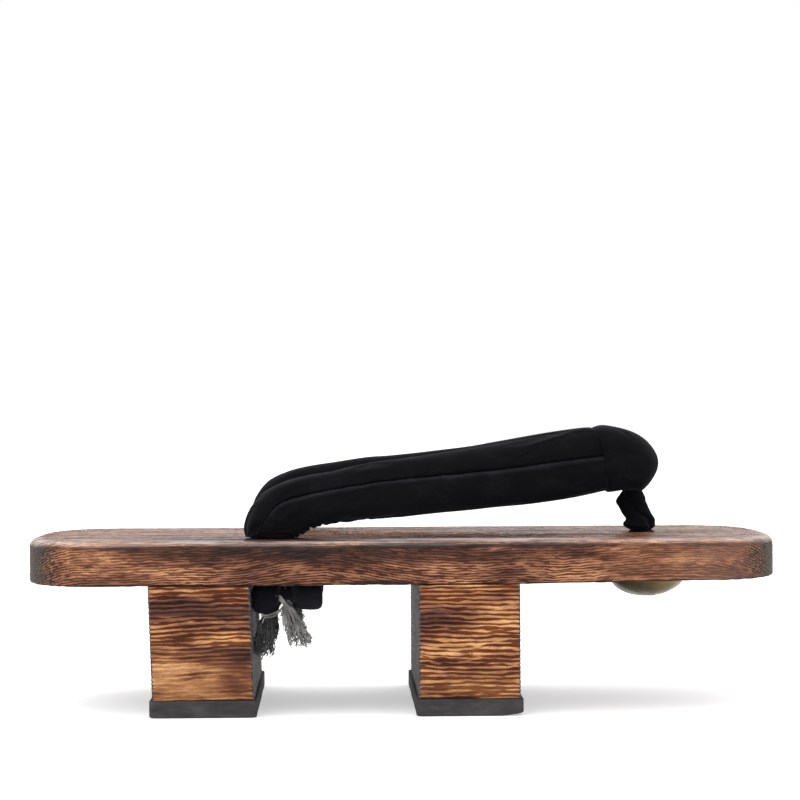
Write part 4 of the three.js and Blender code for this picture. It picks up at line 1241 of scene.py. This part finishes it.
# Threads as Geometry Nodes: lines hung on a point, fanned out, crinkled and given a round section.
def frayed_threads():
    tree = bpy.data.node_groups.new("frayed_threads", "GeometryNodeTree")
    sockets = {}
    for name, kind in (("Geometry", "Geometry"), ("Count", "Int"), ("Seed", "Int"), ("Length", "Float"),
                       ("Spread", "Vector"), ("Lean", "Float"), ("Curl", "Float"), ("Neck", "Float"),
                       ("Bound", "Float"), ("Start", "Float"), ("Thread", "Float"), ("Place", "Vector"),
                       ("Finish", "Material")):
        made = tree.interface.new_socket(name, in_out="INPUT", socket_type=f"NodeSocket{kind}")
        sockets[name] = made.identifier
    tree.interface.new_socket("Geometry", in_out="OUTPUT", socket_type="NodeSocketGeometry")
    given = add(tree, "NodeGroupInput").outputs

    def vector(operation, *values, **named):
        inputs = dict(enumerate(values)) | named
        return add(tree, "ShaderNodeVectorMath", inputs, operation=operation).outputs[0]

    points = add(tree, "GeometryNodeMeshLine", {"Count": given["Count"]}).outputs[0]
    random = add(tree, "FunctionNodeRandomValue", {"Seed": given["Seed"]}, data_type="FLOAT_VECTOR")
    random.inputs[0].default_value = (-1, -1, -1)
    random.inputs[1].default_value = (1, 1, 1)
    points = add(tree, "GeometryNodeStoreNamedAttribute", {
        "Geometry": points, "Name": "fan", "Value": random.outputs[0]}, data_type="FLOAT_VECTOR").outputs[0]
    line = add(tree, "GeometryNodeCurvePrimitiveLine", {"End": (0, 0, 1)}).outputs[0]
    line = add(tree, "GeometryNodeResampleCurve", {"Curve": line, "Count": 30}).outputs[0]
    lines = add(tree, "GeometryNodeInstanceOnPoints", {"Points": points, "Instance": line}).outputs[0]
    lines = add(tree, "GeometryNodeRealizeInstances", {0: lines}).outputs[0]
    fan = add(tree, "GeometryNodeInputNamedAttribute", {"Name": "fan"}, data_type="FLOAT_VECTOR").outputs[0]
    along = add(tree, "GeometryNodeSplineParameter").outputs["Factor"]
    parts = add(tree, "ShaderNodeSeparateXYZ", {0: fan}).outputs
    free = reckon(tree, "DIVIDE", reckon(tree, "SUBTRACT", along, given["Bound"]),
                  reckon(tree, "SUBTRACT", 1.0, given["Bound"]), clamp=True)
    reach = reckon(tree, "POWER", free, 0.55)
    free_squared = reckon(tree, "MULTIPLY", free, free)
    closing = reckon(tree, "SUBTRACT", 1.0, reckon(tree, "MULTIPLY", free_squared, 0.25))
    wild = reckon(tree, "MULTIPLY_ADD", reckon(tree, "POWER", parts[2], 3.0), -0.45, 0.95)
    fanned = vector("SCALE", vector("MULTIPLY", fan, given["Spread"]), Scale=wild)
    fanned = vector("SCALE", fanned, Scale=reckon(tree, "MULTIPLY", reach, closing))
    fanned = vector("MULTIPLY", fanned, (1, 1, 0))
    crinkle_along = vector("SCALE", (3.4, 4.6, 2.7), Scale=along)
    crinkle_at = vector("ADD", vector("SCALE", fan, Scale=37.0), crinkle_along)
    crinkle = add(tree, "ShaderNodeTexNoise", {"Vector": crinkle_at, "Scale": 1.0, "Detail": 2.0})
    kink_along = vector("SCALE", (9.0, 13.0, 11.0), Scale=along)
    kink_at = vector("ADD", vector("SCALE", fan, Scale=91.0), kink_along)
    kink = add(tree, "ShaderNodeTexNoise", {"Vector": kink_at, "Scale": 1.0, "Detail": 1.0})
    crinkled = vector("SUBTRACT", crinkle.outputs["Color"], (0.5, 0.5, 0.5))
    kinked = vector("SUBTRACT", kink.outputs["Color"], (0.5, 0.5, 0.5))
    crinkled = vector("ADD", crinkled, vector("SCALE", kinked, Scale=0.42))
    crinkled = vector("SCALE", crinkled, Scale=reckon(tree, "MULTIPLY", given["Curl"], free))
    long = reckon(tree, "MULTIPLY", given["Length"], reckon(tree, "MULTIPLY_ADD", parts[2], 0.14, 0.88))
    down = reckon(tree, "MULTIPLY", reckon(tree, "MULTIPLY", along, long), -1.0)
    neck_left = reckon(tree, "SUBTRACT", 1.0, reckon(tree, "DIVIDE", along, given["Bound"]), clamp=True)
    set_off = reckon(tree, "MULTIPLY", given["Start"], neck_left)
    drift = reckon(tree, "MULTIPLY_ADD", given["Lean"], free, set_off)
    hang = add(tree, "ShaderNodeCombineXYZ", {0: drift, 2: down}).outputs[0]
    start = vector("SCALE", vector("MULTIPLY", fan, (1, 1, 0.4)), Scale=given["Neck"])
    spot = vector("ADD", vector("ADD", hang, fanned), vector("ADD", crinkled, start))
    spot = vector("ADD", spot, given["Place"])
    lines = add(tree, "GeometryNodeSetPosition", {"Geometry": lines, "Position": spot}).outputs[0]
    section = add(tree, "GeometryNodeCurvePrimitiveCircle", {
        "Resolution": 5, "Radius": given["Thread"]}).outputs[0]
    threads = add(tree, "GeometryNodeCurveToMesh", {
        "Curve": lines, "Profile Curve": section, "Fill Caps": True}).outputs[0]
    threads = add(tree, "GeometryNodeRealizeInstances", {0: threads}).outputs[0]
    threads = add(tree, "GeometryNodeSetMaterial", {
        "Geometry": threads, "Material": given["Finish"]}).outputs[0]
    add(tree, "NodeGroupOutput", {0: threads})
    return tree, sockets


# Loose ends beside the near cord: two lie under the tail and one curls down. Each spot is ahead of
# and below the middle of the cord, and out from the line of the rear holes, in millimetres.
loose_ends = [
    {"radius": 0.3, "path": [
        (-0.6, 2.3, 7.6), (-2.6, 4.2, 7.9), (-5.2, 5.4, 7.6), (-7.4, 5.8, 7.3), (-8.9, 5.2, 7.0)]},
    {"radius": 0.27, "path": [
        (-0.9, 3.0, 7.6), (-3.4, 5.6, 7.6), (-5.6, 6.4, 7.3), (-7.6, 6.7, 6.6), (-8.4, 8.6, 5.6)]},
    {"radius": 0.17, "path": [(-0.6, 4.0, 8.6), (-0.5, 6.6, 8.7), (0.3, 8.1, 8.6), (-0.5, 9.7, 8.5)]},
]


def loose_end(row, material):
    ahead_of, below, out = np.array(row["path"]).T * mm
    path = np.column_stack([waist_x + ahead_of, -rear_hole_side - out, waist_middle - below])
    spots, slope = flowing(path, np.linspace(0, 1, 26))
    forward = unit(slope)
    side = unit(np.cross(forward, (0, 1, 0)))
    up = np.cross(side, forward)
    turn = np.linspace(0, 2 * math.pi, 8, endpoint=False)
    reach = row["radius"] * mm
    return skin("loose_end", [
        spot + reach * (np.outer(np.cos(turn), s) + np.outer(np.sin(turn), u))
        for spot, s, u in zip(spots, side, up)], material)


thread_tree, thread_sockets = frayed_threads()
light_cotton = cotton_finish("cotton_light", (78, 77, 76), (128, 126, 124), (190, 187, 184))
# The cotton under the tail is a darker copy, as painted shade.
shaded_cotton = cotton_finish("cotton_shaded", (46, 46, 47), (80, 79, 79), (132, 130, 129))
beside_tail = rear_hole_side + waist_wide / 2 + 1.5 * cord_diameter + 2 * gap
under_tail = tail_top - tail_rows[3][2] * tail_tall - gap
# Each row has a tassel's place, how far its threads spread, lean and curl in millimetres, how thick
# it is where it is still a bound cord, the share of its length that is, and where that cord starts.
tassel_rows = [
    {"name": "front", "x": waist_x + cord_diameter / 4, "side": beside_tail,
     "top": waist_middle + front_tassel_rise,
     "spread": (4.2, 2.6, 0), "lean": {"near": 4.5, "far": 0.8}, "curl": 5.2, "neck": 0.75, "bound": 0.25,
     "start": -3.2, "finish": light_cotton},
    {"name": "rear", "x": waist_x - rear_tassel_behind, "side": rear_hole_side, "top": under_tail,
     "spread": (3.1, 3.0, 0), "lean": {"near": -0.9, "far": -0.9}, "curl": 4.6, "neck": 1.1, "bound": 0.04,
     "start": 0, "finish": shaded_cotton},
]
for which, hand in (("near", -1), ("far", 1)):
    for number, row in enumerate(tassel_rows):
        mesh = bpy.data.meshes.new("threads")
        tassel = bpy.data.objects.new(f"tassel_threads_{which}_{row['name']}", mesh)
        bpy.context.scene.collection.objects.link(tassel)
        length = row["top"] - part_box(f"tassel_{which}_{row['name']}")[0].z
        values = {
            "Count": thread_count, "Seed": 11 + number + 5 * (hand > 0), "Length": length,
            "Spread": [s * mm for s in row["spread"]], "Lean": row["lean"][which] * mm,
            "Curl": row["curl"] * mm, "Neck": row["neck"] * mm, "Bound": row["bound"],
            "Start": row["start"] * mm, "Thread": thread_radius,
            "Place": (row["x"], hand * row["side"], row["top"]), "Finish": row["finish"],
        }
        made_plain(tassel, thread_tree, {thread_sockets[key]: value for key, value in values.items()})
        if (which, row["name"]) == ("near", "rear"):
            tassel = joined([tassel] + [loose_end(end, light_cotton) for end in loose_ends], tassel.name)
        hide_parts(f"tassel_{which}_{row['name']}")
        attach(tassel, "root")
